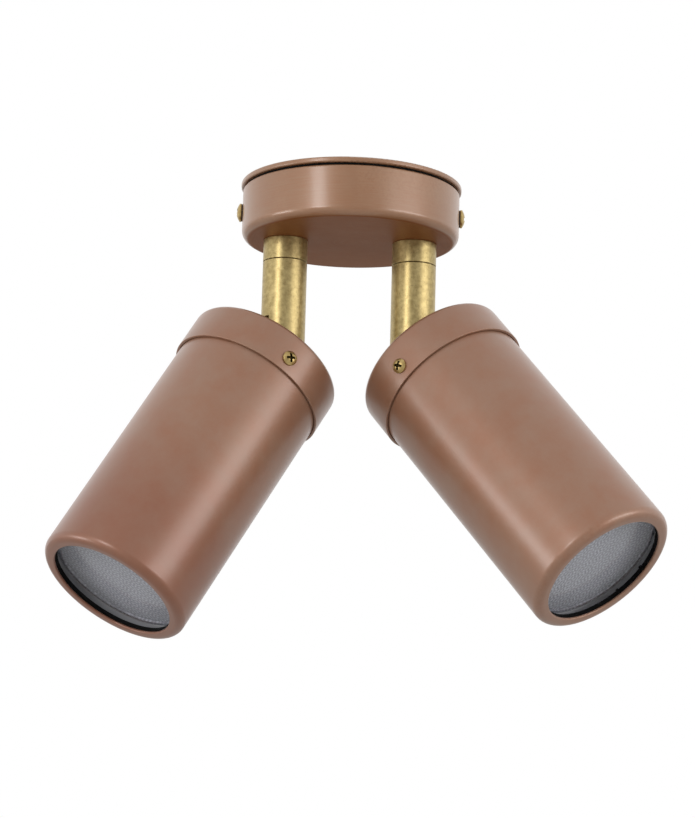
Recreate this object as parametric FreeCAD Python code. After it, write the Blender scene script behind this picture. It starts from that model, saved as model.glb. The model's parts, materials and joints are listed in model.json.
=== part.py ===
import FreeCAD, Part
import math
import os

# Twin spotlight wall light: a round canopy, two swivelling stems and two tilting cylinder heads.
# Millimetres. The origin is the centre of the back plate's mounting face, +Z is the outward
# normal of that face, and the two stems stand side by side along X and hang towards -Z.

X_AXIS = FreeCAD.Vector(1, 0, 0)
Y_AXIS = FreeCAD.Vector(0, 1, 0)
Z_AXIS = FreeCAD.Vector(0, 0, 1)
ORIGIN = FreeCAD.Vector(0, 0, 0)

# Clearances that several fits share
thread_clearance = 0.03       # radial, between a screw and the thread it sits in
running_clearance = 0.08      # radial, where one piece turns on another
side_clearance = 0.10         # between flat faces that turn past each other
hole_clearance = 0.15         # radial, where a screw or tube passes freely
sheet_clearance = 0.20        # between drawn or rolled sheet pieces
face_recess = 0.3             # how far what goes through the plate stays below its mounting face

# Back plate, its gasket and its cable hole
plate_overhang = 0.8          # how far the plate stands out past the canopy
plate_thickness = 2.2
plate_edge_radius = 0.7
fixing_spacing = 60.0
fixing_slot_width = 4.5
fixing_slot_length = 10.0
gasket_setback = 0.8          # how far the gasket's edge is in from the canopy
gasket_thickness = 0.9
gasket_band = 3.0
cable_bore = 8.0
grommet_wall = 2.0
grommet_flange_width = 2.0
grommet_flange_height = 2.0

# Canopy cup and the screws in its side
canopy_diameter = 90.0
canopy_height = 20.8
canopy_wall = 1.2
canopy_corner_radius = 3.6
canopy_lip_radius = 0.8       # rounds the outside of the edge at the gasket
side_screw_diameter = 4.0
side_screw_head_diameter = 7.6
side_screw_head_height = 2.0
side_screw_length = 9.0
side_screw_depth = 12.4       # from the mounting face to the screw's axis
side_screw_angle = -0.5       # degrees from the X axis
side_seal_thickness = 0.4
side_seal_setback = 0.2
lug_width = 12.0
lug_foot_length = 9.0
lug_sheet = 1.5
lug_drop_below_screw = 5.0
lug_boss_radius = 3.8
lug_boss_height = 3.0

# Terminal block, earth terminal and the leads in the canopy
way_count = 4
way_pitch = 8.0
block_length_margin = 5.0     # from an outer way's axis to the block's end
block_depth = 12.0
block_height = 10.0
block_offset = 18.0           # from the origin to the block's middle, towards -Y
way_height = 6.3              # from the plate's inner face to the wire ways
block_peg_radius = 1.5
clamp_radius = 2.4
clamp_length = 9.0
clamp_screw_radius = 1.25
earth_x = -14.0
earth_y = 18.0
earth_screw_diameter = 4.0
earth_head_diameter = 7.5
earth_head_height = 2.4
earth_washer_diameter = 9.0
earth_washer_thickness = 0.8
lead_diameter = 1.5
lead_spacing = 2.0
lead_bend_radius = 2.4
lead_end_gap = 0.3            # between a fixed lead and the lead it goes on as
lead_clamped_length = 1.0     # how far a lead's end reaches into its clamp

# Swivel at the top of each stem
stem_spacing = 53.4
stem_diameter = 18.3
collar_height = 9.3
collar_chamfer = 0.2
seam_gap = 0.25
seam_chamfer = 0.15
swivel_tube_diameter = 10.0
swivel_tube_bore = 6.8
swivel_tube_engagement = 12.0
swivel_nut_across_flats = 14.0
swivel_nut_height = 5.0
swivel_washer_diameter = 15.6
swivel_washer_thickness = 1.0
swivel_tube_top_margin = 2.8  # how far the tube stands past its nut
seal_groove_depth = 1.0
seal_groove_radius = 6.2
stop_pin_radius = 0.6
stop_pin_circle_radius = 7.8
stop_pin_proud = 1.2
stop_pin_embedded = 3.0
stop_groove_depth = 1.6
pan_half_range = 50.0         # degrees either side of straight outwards

# Fork at the foot of each stem and the knuckle that tilts in it
pivot_below_seam = 30.75
fork_lead_bore = 6.4
fork_slot_width = 4.6
pivot_screw_diameter = 5.0
pivot_screw_head_diameter = 8.5
pivot_screw_head_height = 2.6
pivot_screw_head_inset = 1.1  # from the stem's side to the top of the screw's head
pivot_screw_end_gap = 0.5     # between the screw's end and the blind end of its thread
pivot_thread_end_wall = 1.5   # from the blind end of the thread to the stem's side
tilt_washer_thickness = 0.5
tilt_washer_diameter = 12.6
tongue_half_width = 6.8
heel_radius = 7.65            # the raised stretch of the tongue's end that stops the tilt
tilt_least = 30.0             # degrees from straight on
tongue_end_clearance = 0.1
neck_length = 10.3            # from the pivot to the knuckle's flange
flange_thickness = 2.6
spigot_wall = 0.9
spigot_length = 9.1
spigot_bore_margin = 0.3      # from a lead hole's edge to the side of the spigot's bore
knuckle_seal_overhang = 0.4
knuckle_seal_thickness = 1.1
knuckle_nut_across_flats = 17.0
knuckle_nut_height = 4.5
lead_hole_web = 0.42          # metal between a lead hole and the pivot hole
head_lead_inset = 2.2         # from the tongue's round end to the ends of the leads

# Head: cap, can and the optics in its mouth
cap_overlap_wall = 1.0
cap_length = 17.3
cap_corner_radius = 2.4
cap_screw_diameter = 3.0
cap_screw_head_diameter = 6.0
cap_screw_head_height = 1.8
cap_screw_length = 6.0
cap_screw_setback = 11.3      # from the cap's back to its screws
cap_screw_count = 2
can_diameter = 63.0
can_wall = 1.2
can_length = 121.5
rim_radius = 3.4
rim_reach = 5.55              # how far the rim's lip comes in from the can's outside
rim_rake = 0.2                # how far the rim's lip is set back from its crest
lens_gasket_thickness = 1.8
lens_gasket_setback = 0.2     # how far the gasket's bore stays behind the rim's lip
lens_gasket_nib_angle = 94.5  # degrees about the head's axis, midway between the two nibs
lens_gasket_nib_half_spacing = 15.0
lens_gasket_nib_length = 1.1
lens_gasket_nib_width = 1.2
lens_edge_clearance = 0.5
lens_thickness = 4.0
lens_chamfer = 0.3
diffuser_rim_height = 0.8
diffuser_rim_width = 1.5
diffuser_thickness = 2.0
retainer_width = 3.4
retainer_thickness = 1.2
retainer_half_gap = 14.0

# Lamp, its holder and the bracket that carries the holder
lamp_face_diameter = 50.0
lamp_face_height = 3.0
lamp_bowl_height = 27.0
lamp_bowl_bulge = 1.5         # how far the bowl's side stands out of a straight cone, each way
lamp_neck_diameter = 27.0
lamp_neck_height = 17.0
lamp_front_gap = 6.0          # between the retainer and the lamp's face
lamp_pin_radius = 2.5
lamp_pin_spacing = 10.0
lamp_pin_length = 7.0
holder_diameter = 30.0
holder_height = 20.0
holder_wire_depth = 6.0
bracket_sheet = 1.2
bracket_width = 14.0
bracket_peg_radius = 1.5
bracket_peg_length = 1.5
bracket_peg_setback = 10.0    # from the holder's back to the pegs
bracket_leg_past_peg = 4.0

# Shape of the pan head screws against the size of their heads
crown_share = 0.62            # height of the domed top
recess_arm_share = 0.62       # arm length of the cross recess
recess_width_share = 0.17
recess_depth_share = 0.55

# Aim of each head as set: azimuth of the head seen from above, and tilt from straight on
sides = {
    "left": {"stem": -1, "azimuth": 215.3, "outwards": 180.0, "tilt": 34.2, "cap_turn": -9.8},
    "right": {"stem": 1, "azimuth": -36.3, "outwards": 0.0, "tilt": 42.1, "cap_turn": -1.2},
}

# Sizes that follow from the ones above
canopy_radius = canopy_diameter / 2
plate_radius = canopy_radius + plate_overhang
gasket_radius = canopy_radius - gasket_setback
gasket_inner_radius = gasket_radius - gasket_band
plate_inner_z = -plate_thickness
canopy_top_z = plate_inner_z - gasket_thickness
canopy_bottom_z = canopy_top_z - canopy_height
canopy_floor_z = canopy_bottom_z + canopy_wall
grommet_radius = cable_bore / 2 + grommet_wall
stem_radius = stem_diameter / 2
stem_x = stem_spacing / 2
tube_radius = swivel_tube_diameter / 2
collar_bottom_z = canopy_bottom_z - collar_height
stem_top_z = collar_bottom_z - seam_gap
pivot_z = stem_top_z - pivot_below_seam
washer_bottom_z = canopy_floor_z + side_clearance / 2
nut_bottom_z = washer_bottom_z + swivel_washer_thickness
nut_top_z = nut_bottom_z + swivel_nut_height
tube_top_z = nut_top_z + swivel_tube_top_margin
tube_bottom_z = stem_top_z - swivel_tube_engagement
slot_top = tongue_half_width + tongue_end_clearance
pivot_screw_seat = stem_radius - pivot_screw_head_inset - pivot_screw_head_height
pivot_thread_end = stem_radius - pivot_thread_end_wall
tongue_thickness = fork_slot_width - 2 * (tilt_washer_thickness + side_clearance)
lead_radius = lead_diameter / 2
lead_hole_radius = lead_radius + hole_clearance
pivot_hole_radius = pivot_screw_diameter / 2 + running_clearance
head_lead_reach = pivot_hole_radius + lead_hole_web + lead_hole_radius
spigot_bore_radius = head_lead_reach + lead_hole_radius + spigot_bore_margin
spigot_radius = spigot_bore_radius + spigot_wall
flange_back = neck_length + flange_thickness
cap_back = flange_back + knuckle_seal_thickness
cap_floor = cap_back + cap_overlap_wall
can_radius = can_diameter / 2
can_inner_radius = can_radius - can_wall
cap_inner_radius = can_radius + sheet_clearance
cap_radius = cap_inner_radius + cap_overlap_wall
cap_inner_corner_radius = cap_corner_radius - cap_overlap_wall
can_back = cap_floor + cap_inner_corner_radius
can_front = can_back + can_length
cap_screw_place = cap_back + cap_screw_setback
rim_inner_corner_radius = rim_radius - can_wall
rim_inner_face = can_front - rim_rake - can_wall
rim_lip_radius = can_radius - rim_reach
lens_gasket_inner_radius = rim_lip_radius + lens_gasket_setback
lens_gasket_radius = can_inner_radius - rim_inner_corner_radius
lens_front = rim_inner_face - lens_gasket_thickness
lens_back = lens_front - lens_thickness
lens_radius = can_inner_radius - lens_edge_clearance
diffuser_front = lens_back - diffuser_rim_height
diffuser_back = diffuser_front - diffuser_thickness
retainer_back = diffuser_back - retainer_thickness
bracket_floor = cap_floor + bracket_sheet
lamp_front = retainer_back - lamp_front_gap
lamp_neck_back = lamp_front - lamp_face_height - lamp_bowl_height - lamp_neck_height
holder_back = lamp_neck_back - holder_height
holder_radius = holder_diameter / 2


def rod(radius, low, high, x=0.0, y=0.0):
    """Upright cylinder between two heights."""
    return Part.makeCylinder(radius, high - low, FreeCAD.Vector(x, y, low))


def ring(outer, inner, low, high):
    """Upright ring between two heights, centred on the origin."""
    return rod(outer, low, high).cut(rod(inner, low, high))


def block(x_low, x_high, y_low, y_high, z_low, z_high):
    """Box between two corners."""
    corner = FreeCAD.Vector(x_low, y_low, z_low)
    return Part.makeBox(x_high - x_low, y_high - y_low, z_high - z_low, corner)


def hexagon(across_flats, low, high):
    """Upright hexagonal prism, centred on the origin."""
    reach = across_flats / math.sqrt(3)
    turns = [math.radians(60 * step) for step in range(7)]
    corners = [FreeCAD.Vector(reach * math.cos(a), reach * math.sin(a), low) for a in turns]
    face = Part.Face(Part.makePolygon(corners))
    return face.extrude(FreeCAD.Vector(0, 0, high - low))


def turned(*steps):
    """Solid of revolution about Z. A step is a point (radius, height), or two for an arc."""
    def at(point):
        return FreeCAD.Vector(point[0], 0, point[1])

    here = at(steps[0])
    edges = []
    for step in steps[1:] + (steps[0],):
        if isinstance(step[0], tuple):
            end = at(step[1])
            edges.append(Part.Arc(here, at(step[0]), end).toShape())
        else:
            end = at(step)
            edges.append(Part.LineSegment(here, end).toShape())
        here = end
    return Part.Face(Part.Wire(edges)).revolve(ORIGIN, Z_AXIS, 360)


def corner(radius, height, size, outwards, upwards):
    """Middle of the quarter round that blends a corner at this radius and height."""
    inset = size * (1 - math.sqrt(0.5))
    return radius - outwards * inset, height - upwards * inset


def sector(outer, inner, low, high, start, end):
    """Part of an upright ring between two angles in degrees."""
    tube = Part.makeCylinder(outer, high - low, FreeCAD.Vector(0, 0, low), Z_AXIS, end - start)
    tube.rotate(ORIGIN, Z_AXIS, start)
    return tube.cut(rod(inner, low, high))


def pan_head_screw(diameter, head_diameter, head_height, length):
    """Screw along X: its head rises from x = 0 towards +X and its shank runs towards -X."""
    radius = head_diameter / 2
    crown = crown_share * head_height
    ball = (radius ** 2 + crown ** 2) / (2 * crown)
    half_turn = math.asin(radius / ball) / 2
    dome_middle = (ball * math.sin(half_turn), head_height - ball * (1 - math.cos(half_turn)))
    profile = turned(
        (0, -length), (diameter / 2, -length), (diameter / 2, 0), (radius, 0),
        (radius, head_height - crown), (dome_middle, (0, head_height)),
    )
    arm = recess_arm_share * radius
    half_width = recess_width_share * radius
    floor = head_height * (1 - recess_depth_share)
    for long_x in (True, False):
        reach_x, reach_y = (arm, half_width) if long_x else (half_width, arm)
        profile = profile.cut(block(-reach_x, reach_x, -reach_y, reach_y, floor, head_height))
    profile.rotate(ORIGIN, Y_AXIS, 90)
    return profile


def lead(points):
    """Round lead along straight runs joined by tangent bends."""
    stops = [FreeCAD.Vector(*point) for point in points]
    edges = []
    start = stops[0]
    for before, here, after in zip(stops, stops[1:], stops[2:]):
        into = (here - before).normalize()
        out = (after - here).normalize()
        trim = lead_bend_radius * math.tan(into.getAngle(out) / 2)
        bend_start = here - into * trim
        bend_end = here + out * trim
        inner = (out - into).normalize()
        rise = lead_bend_radius / math.cos(into.getAngle(out) / 2) - lead_bend_radius
        edges.append(Part.LineSegment(start, bend_start).toShape())
        edges.append(Part.Arc(bend_start, here + inner * rise, bend_end).toShape())
        start = bend_end
    edges.append(Part.LineSegment(start, stops[-1]).toShape())
    path = Part.Wire(edges)
    first_run = stops[1] - stops[0]
    section = Part.Wire(Part.makeCircle(lead_radius, stops[0], first_run))
    return path.makePipeShell([section], True, False)


def in_stem_frame(shape, side):
    """Turn a piece made about its own stem axis to the side's azimuth and set it in place."""
    placed = shape.copy()
    placed.rotate(ORIGIN, Z_AXIS, sides[side]["azimuth"])
    placed.translate(FreeCAD.Vector(sides[side]["stem"] * stem_x, 0, 0))
    return placed


def in_head_frame(shape, side):
    """Tilt a piece made about the pivot, head pointing along -Z, and hang it on its stem."""
    placed = shape.copy()
    placed.rotate(ORIGIN, Y_AXIS, -sides[side]["tilt"])
    placed.translate(FreeCAD.Vector(0, 0, pivot_z))
    return in_stem_frame(placed, side)


def on_x_line(shape, angle):
    """Turn a piece that lies along +X to an angle in degrees about Z."""
    placed = shape.copy()
    placed.rotate(ORIGIN, Z_AXIS, angle)
    return placed


def back_plate():
    """Round plate against the wall, with two fixing slots and a hole for the grommet."""
    r, e = plate_radius, plate_edge_radius
    plate = turned(
        (0, 0), (r - e, 0), (corner(r, 0, e, 1, 1), (r, -e)),
        (r, plate_inner_z + e), (corner(r, plate_inner_z, e, 1, -1), (r - e, plate_inner_z)),
        (0, plate_inner_z),
    )
    plate = plate.cut(rod(grommet_radius, plate_inner_z, 0))
    slot_radius = fixing_slot_width / 2
    half_run = fixing_slot_length / 2 - slot_radius
    for middle in (-fixing_spacing / 2, fixing_spacing / 2):
        low, high = middle - half_run, middle + half_run
        plate = plate.cut(block(-slot_radius, slot_radius, low, high, plate_inner_z, 0))
        for end in (low, high):
            plate = plate.cut(rod(slot_radius, plate_inner_z, 0, 0, end))
    for x in block_peg_places():
        plate = plate.cut(rod(block_peg_radius, plate_inner_z, 0, x, -block_offset))
    earth_hole = earth_screw_diameter / 2 + thread_clearance
    return plate.cut(rod(earth_hole, plate_inner_z, 0, earth_x, earth_y))


def plate_gasket():
    """Flat rubber ring between the back plate and the canopy's edge."""
    return ring(gasket_radius, gasket_inner_radius, canopy_top_z, plate_inner_z)


def cable_grommet():
    """Rubber bush in the plate's cable hole, flush with the mounting face."""
    flange_radius = grommet_radius + grommet_flange_width
    bush = rod(grommet_radius, plate_inner_z, 0)
    bush = bush.fuse(rod(flange_radius, plate_inner_z - grommet_flange_height, plate_inner_z))
    return bush.removeSplitter().cut(rod(cable_bore / 2, plate_inner_z - grommet_flange_height, 0))


def canopy_lugs():
    """Two angle brackets welded to the plate, with the threads for the canopy's screws."""
    half_width = lug_width / 2
    outer = math.sqrt((gasket_inner_radius - sheet_clearance) ** 2 - half_width ** 2)
    foot_z = plate_inner_z - lug_sheet
    tip_z = -side_screw_depth - lug_drop_below_screw
    foot = block(outer - lug_foot_length, outer, -half_width, half_width, foot_z, plate_inner_z)
    tab = block(outer - lug_sheet, outer, -half_width, half_width, tip_z, foot_z)
    boss_start = outer - lug_sheet - lug_boss_height
    boss = Part.makeCylinder(
        lug_boss_radius, lug_boss_height, FreeCAD.Vector(boss_start, 0, -side_screw_depth), X_AXIS)
    thread = Part.makeCylinder(
        side_screw_diameter / 2 + thread_clearance, lug_sheet + lug_boss_height,
        FreeCAD.Vector(boss_start, 0, -side_screw_depth), X_AXIS)
    lug = foot.fuse([tab, boss]).removeSplitter().cut(thread)
    return Part.makeCompound([on_x_line(lug, side_screw_angle + turn) for turn in (0, 180)])


def canopy():
    """Drawn cup with rounded edges, two stem holes and two screw holes."""
    r, e, lip = canopy_radius, canopy_corner_radius, canopy_lip_radius
    inner, inner_e = r - canopy_wall, e - canopy_wall
    bottom, floor, top = canopy_bottom_z, canopy_floor_z, canopy_top_z
    cup = turned(
        (0, bottom), (r - e, bottom), (corner(r, bottom, e, 1, -1), (r, bottom + e)),
        (r, top - lip), (corner(r, top, lip, 1, 1), (r - lip, top)),
        (inner, top), (inner, floor + inner_e),
        (corner(inner, floor, inner_e, 1, -1), (inner - inner_e, floor)), (0, floor),
    )
    for side in sides.values():
        stem_hole = rod(tube_radius + running_clearance, bottom, floor, side["stem"] * stem_x)
        cup = cup.cut(stem_hole)
    through = 2 * (canopy_radius + plate_overhang)
    screw_holes = Part.makeCylinder(
        side_screw_diameter / 2 + hole_clearance, through,
        FreeCAD.Vector(-through / 2, 0, -side_screw_depth), X_AXIS)
    return cup.cut(on_x_line(screw_holes, side_screw_angle))


def canopy_screws():
    """Two pan head screws through the canopy's side, each standing on its seal."""
    screw = pan_head_screw(
        side_screw_diameter, side_screw_head_diameter, side_screw_head_height, side_screw_length)
    screw.translate(FreeCAD.Vector(canopy_radius + side_seal_thickness, 0, -side_screw_depth))
    return Part.makeCompound([on_x_line(screw, side_screw_angle + turn) for turn in (0, 180)])


def canopy_screw_seals():
    """Thin rubber washer under each canopy screw, shaped to the canopy's round side."""
    start = FreeCAD.Vector(0, 0, -side_screw_depth)
    reach = canopy_radius + side_seal_thickness
    seal_radius = side_screw_head_diameter / 2 - side_seal_setback
    washer = Part.makeCylinder(seal_radius, reach, start, X_AXIS)
    hole = Part.makeCylinder(side_screw_diameter / 2 + thread_clearance, reach, start, X_AXIS)
    seal = washer.cut(hole).cut(rod(canopy_radius, canopy_bottom_z, canopy_top_z))
    return Part.makeCompound([on_x_line(seal, side_screw_angle + turn) for turn in (0, 180)])


def way_places():
    """X of each wire way in the terminal block."""
    first = -way_pitch * (way_count - 1) / 2
    return [first + way_pitch * step for step in range(way_count)]


def block_peg_places():
    """X of the two pegs that hold the terminal block in the plate, midway between outer ways."""
    ways = way_places()
    return [(ways[0] + ways[1]) / 2, (ways[-2] + ways[-1]) / 2]


def terminal_block():
    """Insulating block with a wire way and a screw well for each clamp, on two pegs."""
    half_length = way_places()[-1] + block_length_margin
    y_low, y_high = -block_offset - block_depth / 2, -block_offset + block_depth / 2
    bottom = plate_inner_z - block_height
    way_z = plate_inner_z - way_height
    body = block(-half_length, half_length, y_low, y_high, bottom, plate_inner_z)
    for x in block_peg_places():
        body = body.fuse(rod(block_peg_radius, plate_inner_z, -face_recess, x, -block_offset))
    for x in way_places():
        chamber = Part.makeCylinder(
            clamp_radius + thread_clearance, clamp_length,
            FreeCAD.Vector(x, -block_offset - clamp_length / 2, way_z), Y_AXIS)
        way = Part.makeCylinder(
            lead_hole_radius, block_depth, FreeCAD.Vector(x, y_low, way_z), Y_AXIS)
        well = rod(clamp_screw_radius + hole_clearance, bottom, way_z, x, -block_offset)
        body = body.cut(chamber).cut(way).cut(well)
    return body


def terminal_clamps():
    """Brass wire clamps of the terminal block, each with its screw."""
    pieces = []
    way_z = plate_inner_z - way_height
    bottom = plate_inner_z - block_height
    for x in way_places():
        start = FreeCAD.Vector(x, -block_offset - clamp_length / 2, way_z)
        sleeve = Part.makeCylinder(clamp_radius, clamp_length, start, Y_AXIS)
        bore = Part.makeCylinder(lead_hole_radius, clamp_length, start, Y_AXIS)
        thread_radius = clamp_screw_radius + thread_clearance
        thread = rod(thread_radius, way_z - clamp_radius, way_z, x, -block_offset)
        pieces.append(sleeve.cut(bore).cut(thread))
        pieces.append(rod(clamp_screw_radius, bottom + sheet_clearance,
                          way_z - lead_hole_radius, x, -block_offset))
    return Part.makeCompound(pieces)


def earth_terminal():
    """Earth screw in the plate with its cup washer."""
    washer_z = plate_inner_z - earth_washer_thickness
    washer = rod(earth_washer_diameter / 2, washer_z, plate_inner_z, earth_x, earth_y)
    washer = washer.cut(rod(earth_screw_diameter / 2 + thread_clearance, washer_z, plate_inner_z,
                            earth_x, earth_y))
    screw = pan_head_screw(earth_screw_diameter, earth_head_diameter, earth_head_height,
                           -washer_z - face_recess)
    screw.rotate(ORIGIN, Y_AXIS, 90)
    screw.translate(FreeCAD.Vector(earth_x, earth_y, washer_z))
    return Part.makeCompound([washer, screw])


def canopy_leads():
    """Four leads from the terminal block's clamps to the tops of the two swivel tubes."""
    way_z = plate_inner_z - way_height
    start_y = -block_offset + clamp_length / 2 - lead_clamped_length
    end_z = tube_top_z + lead_end_gap / 2
    ways = way_places()
    half_gap = lead_spacing / 2
    routes = [(ways[0], -1, -half_gap), (ways[1], -1, half_gap),
              (ways[2], 1, half_gap), (ways[3], 1, -half_gap)]
    leads = []
    for way_x, stem, y in routes:
        end_x = stem * stem_x
        leads.append(lead([(way_x, start_y, way_z), (way_x, y, way_z), (end_x, y, way_z),
                           (end_x, y, end_z)]))
    return Part.makeCompound(leads)


def stem_collar(side):
    """Collar soldered to the canopy, with the blind groove that the stop pin runs in."""
    r, c, s = stem_radius, collar_chamfer, seam_chamfer
    body = turned(
        (0, canopy_bottom_z), (r - c, canopy_bottom_z), (r, canopy_bottom_z - c),
        (r, collar_bottom_z + s), (r - s, collar_bottom_z), (0, collar_bottom_z),
    ).cut(rod(tube_radius + running_clearance, collar_bottom_z, canopy_bottom_z))
    pin_reach = stop_pin_radius + side_clearance
    half_angle = pan_half_range + math.degrees(math.asin(pin_reach / stop_pin_circle_radius))
    groove = sector(
        stop_pin_circle_radius + pin_reach, stop_pin_circle_radius - pin_reach,
        collar_bottom_z, collar_bottom_z + stop_groove_depth, -half_angle, half_angle)
    body = body.cut(groove)
    body.rotate(ORIGIN, Z_AXIS, sides[side]["outwards"])
    body.translate(FreeCAD.Vector(sides[side]["stem"] * stem_x, 0, 0))
    return body


def stem(side):
    """Turned stem: threaded at the top for the swivel tube, forked and rounded at its foot."""
    r, s = stem_radius, seam_chamfer
    foot_z = pivot_z - r
    body = turned(
        (0, foot_z), (r, foot_z), (r, stem_top_z - s), (r - s, stem_top_z), (0, stem_top_z))
    rounding = Part.makeCylinder(r, 2 * r, FreeCAD.Vector(0, -r, pivot_z), Y_AXIS)
    shank = block(-r, r, -r, r, pivot_z, stem_top_z)
    body = body.common(rounding.fuse(shank))
    body = body.cut(rod(tube_radius + thread_clearance, tube_bottom_z, stem_top_z))
    body = body.cut(rod(fork_lead_bore / 2, pivot_z + slot_top, tube_bottom_z))
    slot_half = fork_slot_width / 2
    body = body.cut(block(-r, r, -slot_half, slot_half, foot_z, pivot_z + slot_top))
    seal_half = swivel_seal_radius() + running_clearance
    body = body.cut(ring(seal_groove_radius + seal_half, seal_groove_radius - seal_half,
                         stem_top_z - seal_groove_depth, stem_top_z))
    body = body.cut(rod(stop_pin_radius, stem_top_z - stop_pin_embedded, stem_top_z,
                        stop_pin_circle_radius))
    back = sides[side]["stem"]
    start = FreeCAD.Vector(0, back * r, pivot_z)
    pocket = Part.makeCylinder(pivot_screw_head_diameter / 2 + hole_clearance,
                               r - pivot_screw_seat, start, Y_AXIS * -back)
    thread = Part.makeCylinder(pivot_screw_diameter / 2 + thread_clearance,
                               r + pivot_thread_end, start, Y_AXIS * -back)
    return in_stem_frame(body.cut(pocket).cut(thread), side)


def swivel_tube(side):
    """Hollow threaded tube that joins the stem to the canopy and carries the leads."""
    tube = ring(tube_radius, swivel_tube_bore / 2, tube_bottom_z, tube_top_z)
    return in_stem_frame(tube, side)


def swivel_washer(side):
    """Friction washer between the canopy's floor and the swivel nut."""
    inner = tube_radius + running_clearance
    washer = ring(swivel_washer_diameter / 2, inner, washer_bottom_z, nut_bottom_z)
    return in_stem_frame(washer, side)


def swivel_nut(side):
    """Lock nut on the swivel tube inside the canopy."""
    nut = hexagon(swivel_nut_across_flats, nut_bottom_z, nut_top_z)
    nut = nut.cut(rod(tube_radius + thread_clearance, nut_bottom_z, nut_top_z))
    return in_stem_frame(nut, side)


def swivel_seal_radius():
    """Section radius of the seal ring that fills its groove up to the collar."""
    return (seal_groove_depth + seam_gap - side_clearance / 2) / 2


def swivel_seal(side):
    """Rubber ring in the stem's top face that keeps water out of the swivel."""
    height = stem_top_z - seal_groove_depth + swivel_seal_radius()
    seal = Part.makeTorus(seal_groove_radius, swivel_seal_radius(), FreeCAD.Vector(0, 0, height))
    return in_stem_frame(seal, side)


def stop_pin(side):
    """Pin in the stem's top face that limits the swivel by the ends of the collar's groove."""
    pin = rod(stop_pin_radius, stem_top_z - stop_pin_embedded, stem_top_z + stop_pin_proud,
              stop_pin_circle_radius)
    return in_stem_frame(pin, side)


def pivot_screw(side):
    """Screw across the fork on which the knuckle tilts, its head on the stem's back."""
    back = sides[side]["stem"]
    length = pivot_screw_seat + pivot_thread_end - pivot_screw_end_gap
    screw = pan_head_screw(pivot_screw_diameter, pivot_screw_head_diameter,
                           pivot_screw_head_height, length)
    screw.rotate(ORIGIN, Z_AXIS, 90 * back)
    screw.translate(FreeCAD.Vector(0, back * pivot_screw_seat, pivot_z))
    return in_stem_frame(screw, side)


def tilt_washers(side):
    """Two thin washers, one on each inner face of the fork, that give the tilt its friction."""
    washers = []
    for start in (-fork_slot_width / 2, fork_slot_width / 2 - tilt_washer_thickness):
        base = FreeCAD.Vector(0, start, pivot_z)
        disc = Part.makeCylinder(tilt_washer_diameter / 2, tilt_washer_thickness, base, Y_AXIS)
        hole = Part.makeCylinder(pivot_screw_diameter / 2 + thread_clearance,
                                 tilt_washer_thickness, base, Y_AXIS)
        washers.append(disc.cut(hole))
    return in_stem_frame(Part.makeCompound(washers), side)


def stem_leads(side):
    """The two leads in the swivel tube and the stem, down to the fork."""
    low = pivot_z + slot_top + lead_radius
    high = tube_top_z - lead_end_gap / 2
    x = sides[side]["stem"] * stem_x
    return Part.makeCompound([rod(lead_radius, low, high, x, offset * lead_spacing / 2)
                              for offset in (-1, 1)])


def tongue():
    """Flat tongue, round about the pivot, with a raised heel whose start stops the tilt."""
    w = tongue_half_width
    contact = math.degrees(math.asin((slot_top - tongue_end_clearance / 2) / heel_radius))
    heel_start = 180.0 - contact - tilt_least
    heel_end = 180.0 - math.degrees(math.acos(w / heel_radius))

    def at(radius, degrees):
        """Point of the outline at this radius and angle about the pivot."""
        turn = math.radians(degrees)
        return FreeCAD.Vector(radius * math.cos(turn), -tongue_thickness / 2,
                              radius * math.sin(turn))

    right_foot = FreeCAD.Vector(w, -tongue_thickness / 2, -neck_length)
    left_foot = FreeCAD.Vector(-w, -tongue_thickness / 2, -neck_length)
    heel_middle = (heel_start + heel_end) / 2
    outline = [
        Part.LineSegment(right_foot, at(w, 0)),
        Part.Arc(at(w, 0), at(w, heel_start / 2), at(w, heel_start)),
        Part.LineSegment(at(w, heel_start), at(heel_radius, heel_start)),
        Part.Arc(at(heel_radius, heel_start), at(heel_radius, heel_middle), at(heel_radius, heel_end)),
        Part.LineSegment(at(heel_radius, heel_end), left_foot),
        Part.LineSegment(left_foot, right_foot),
    ]
    wire = Part.Wire([edge.toShape() for edge in outline])
    return Part.Face(wire).extrude(FreeCAD.Vector(0, tongue_thickness, 0))


def knuckle(side):
    """Tongue that tilts in the fork, with the flange and hollow spigot that carry the cap."""
    body = tongue().fuse(rod(stem_radius, -flange_back, -neck_length))
    body = body.fuse(rod(spigot_radius, -flange_back - spigot_length, -flange_back))
    body = body.removeSplitter()
    bore_end = -neck_length - flange_thickness / 2
    body = body.cut(rod(spigot_bore_radius, -flange_back - spigot_length, bore_end))
    for x in (-head_lead_reach, head_lead_reach):
        body = body.cut(rod(lead_hole_radius, bore_end, heel_radius, x))
    hole_start = FreeCAD.Vector(0, -tongue_thickness / 2, 0)
    pivot_hole = Part.makeCylinder(pivot_hole_radius, tongue_thickness, hole_start, Y_AXIS)
    return in_head_frame(body.cut(pivot_hole), side)


def knuckle_seal(side):
    """Rubber washer between the knuckle's flange and the cap."""
    seal = ring(stem_radius + knuckle_seal_overhang, spigot_radius + thread_clearance,
                -cap_back, -flange_back)
    return in_head_frame(seal, side)


def knuckle_nut(side):
    """Nut inside the cap that clamps the knuckle, the cap and the bracket together."""
    low = -bracket_floor - knuckle_nut_height
    nut = hexagon(knuckle_nut_across_flats, low, -bracket_floor)
    nut = nut.cut(rod(spigot_radius + thread_clearance, low, -bracket_floor))
    return in_head_frame(nut, side)


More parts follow.
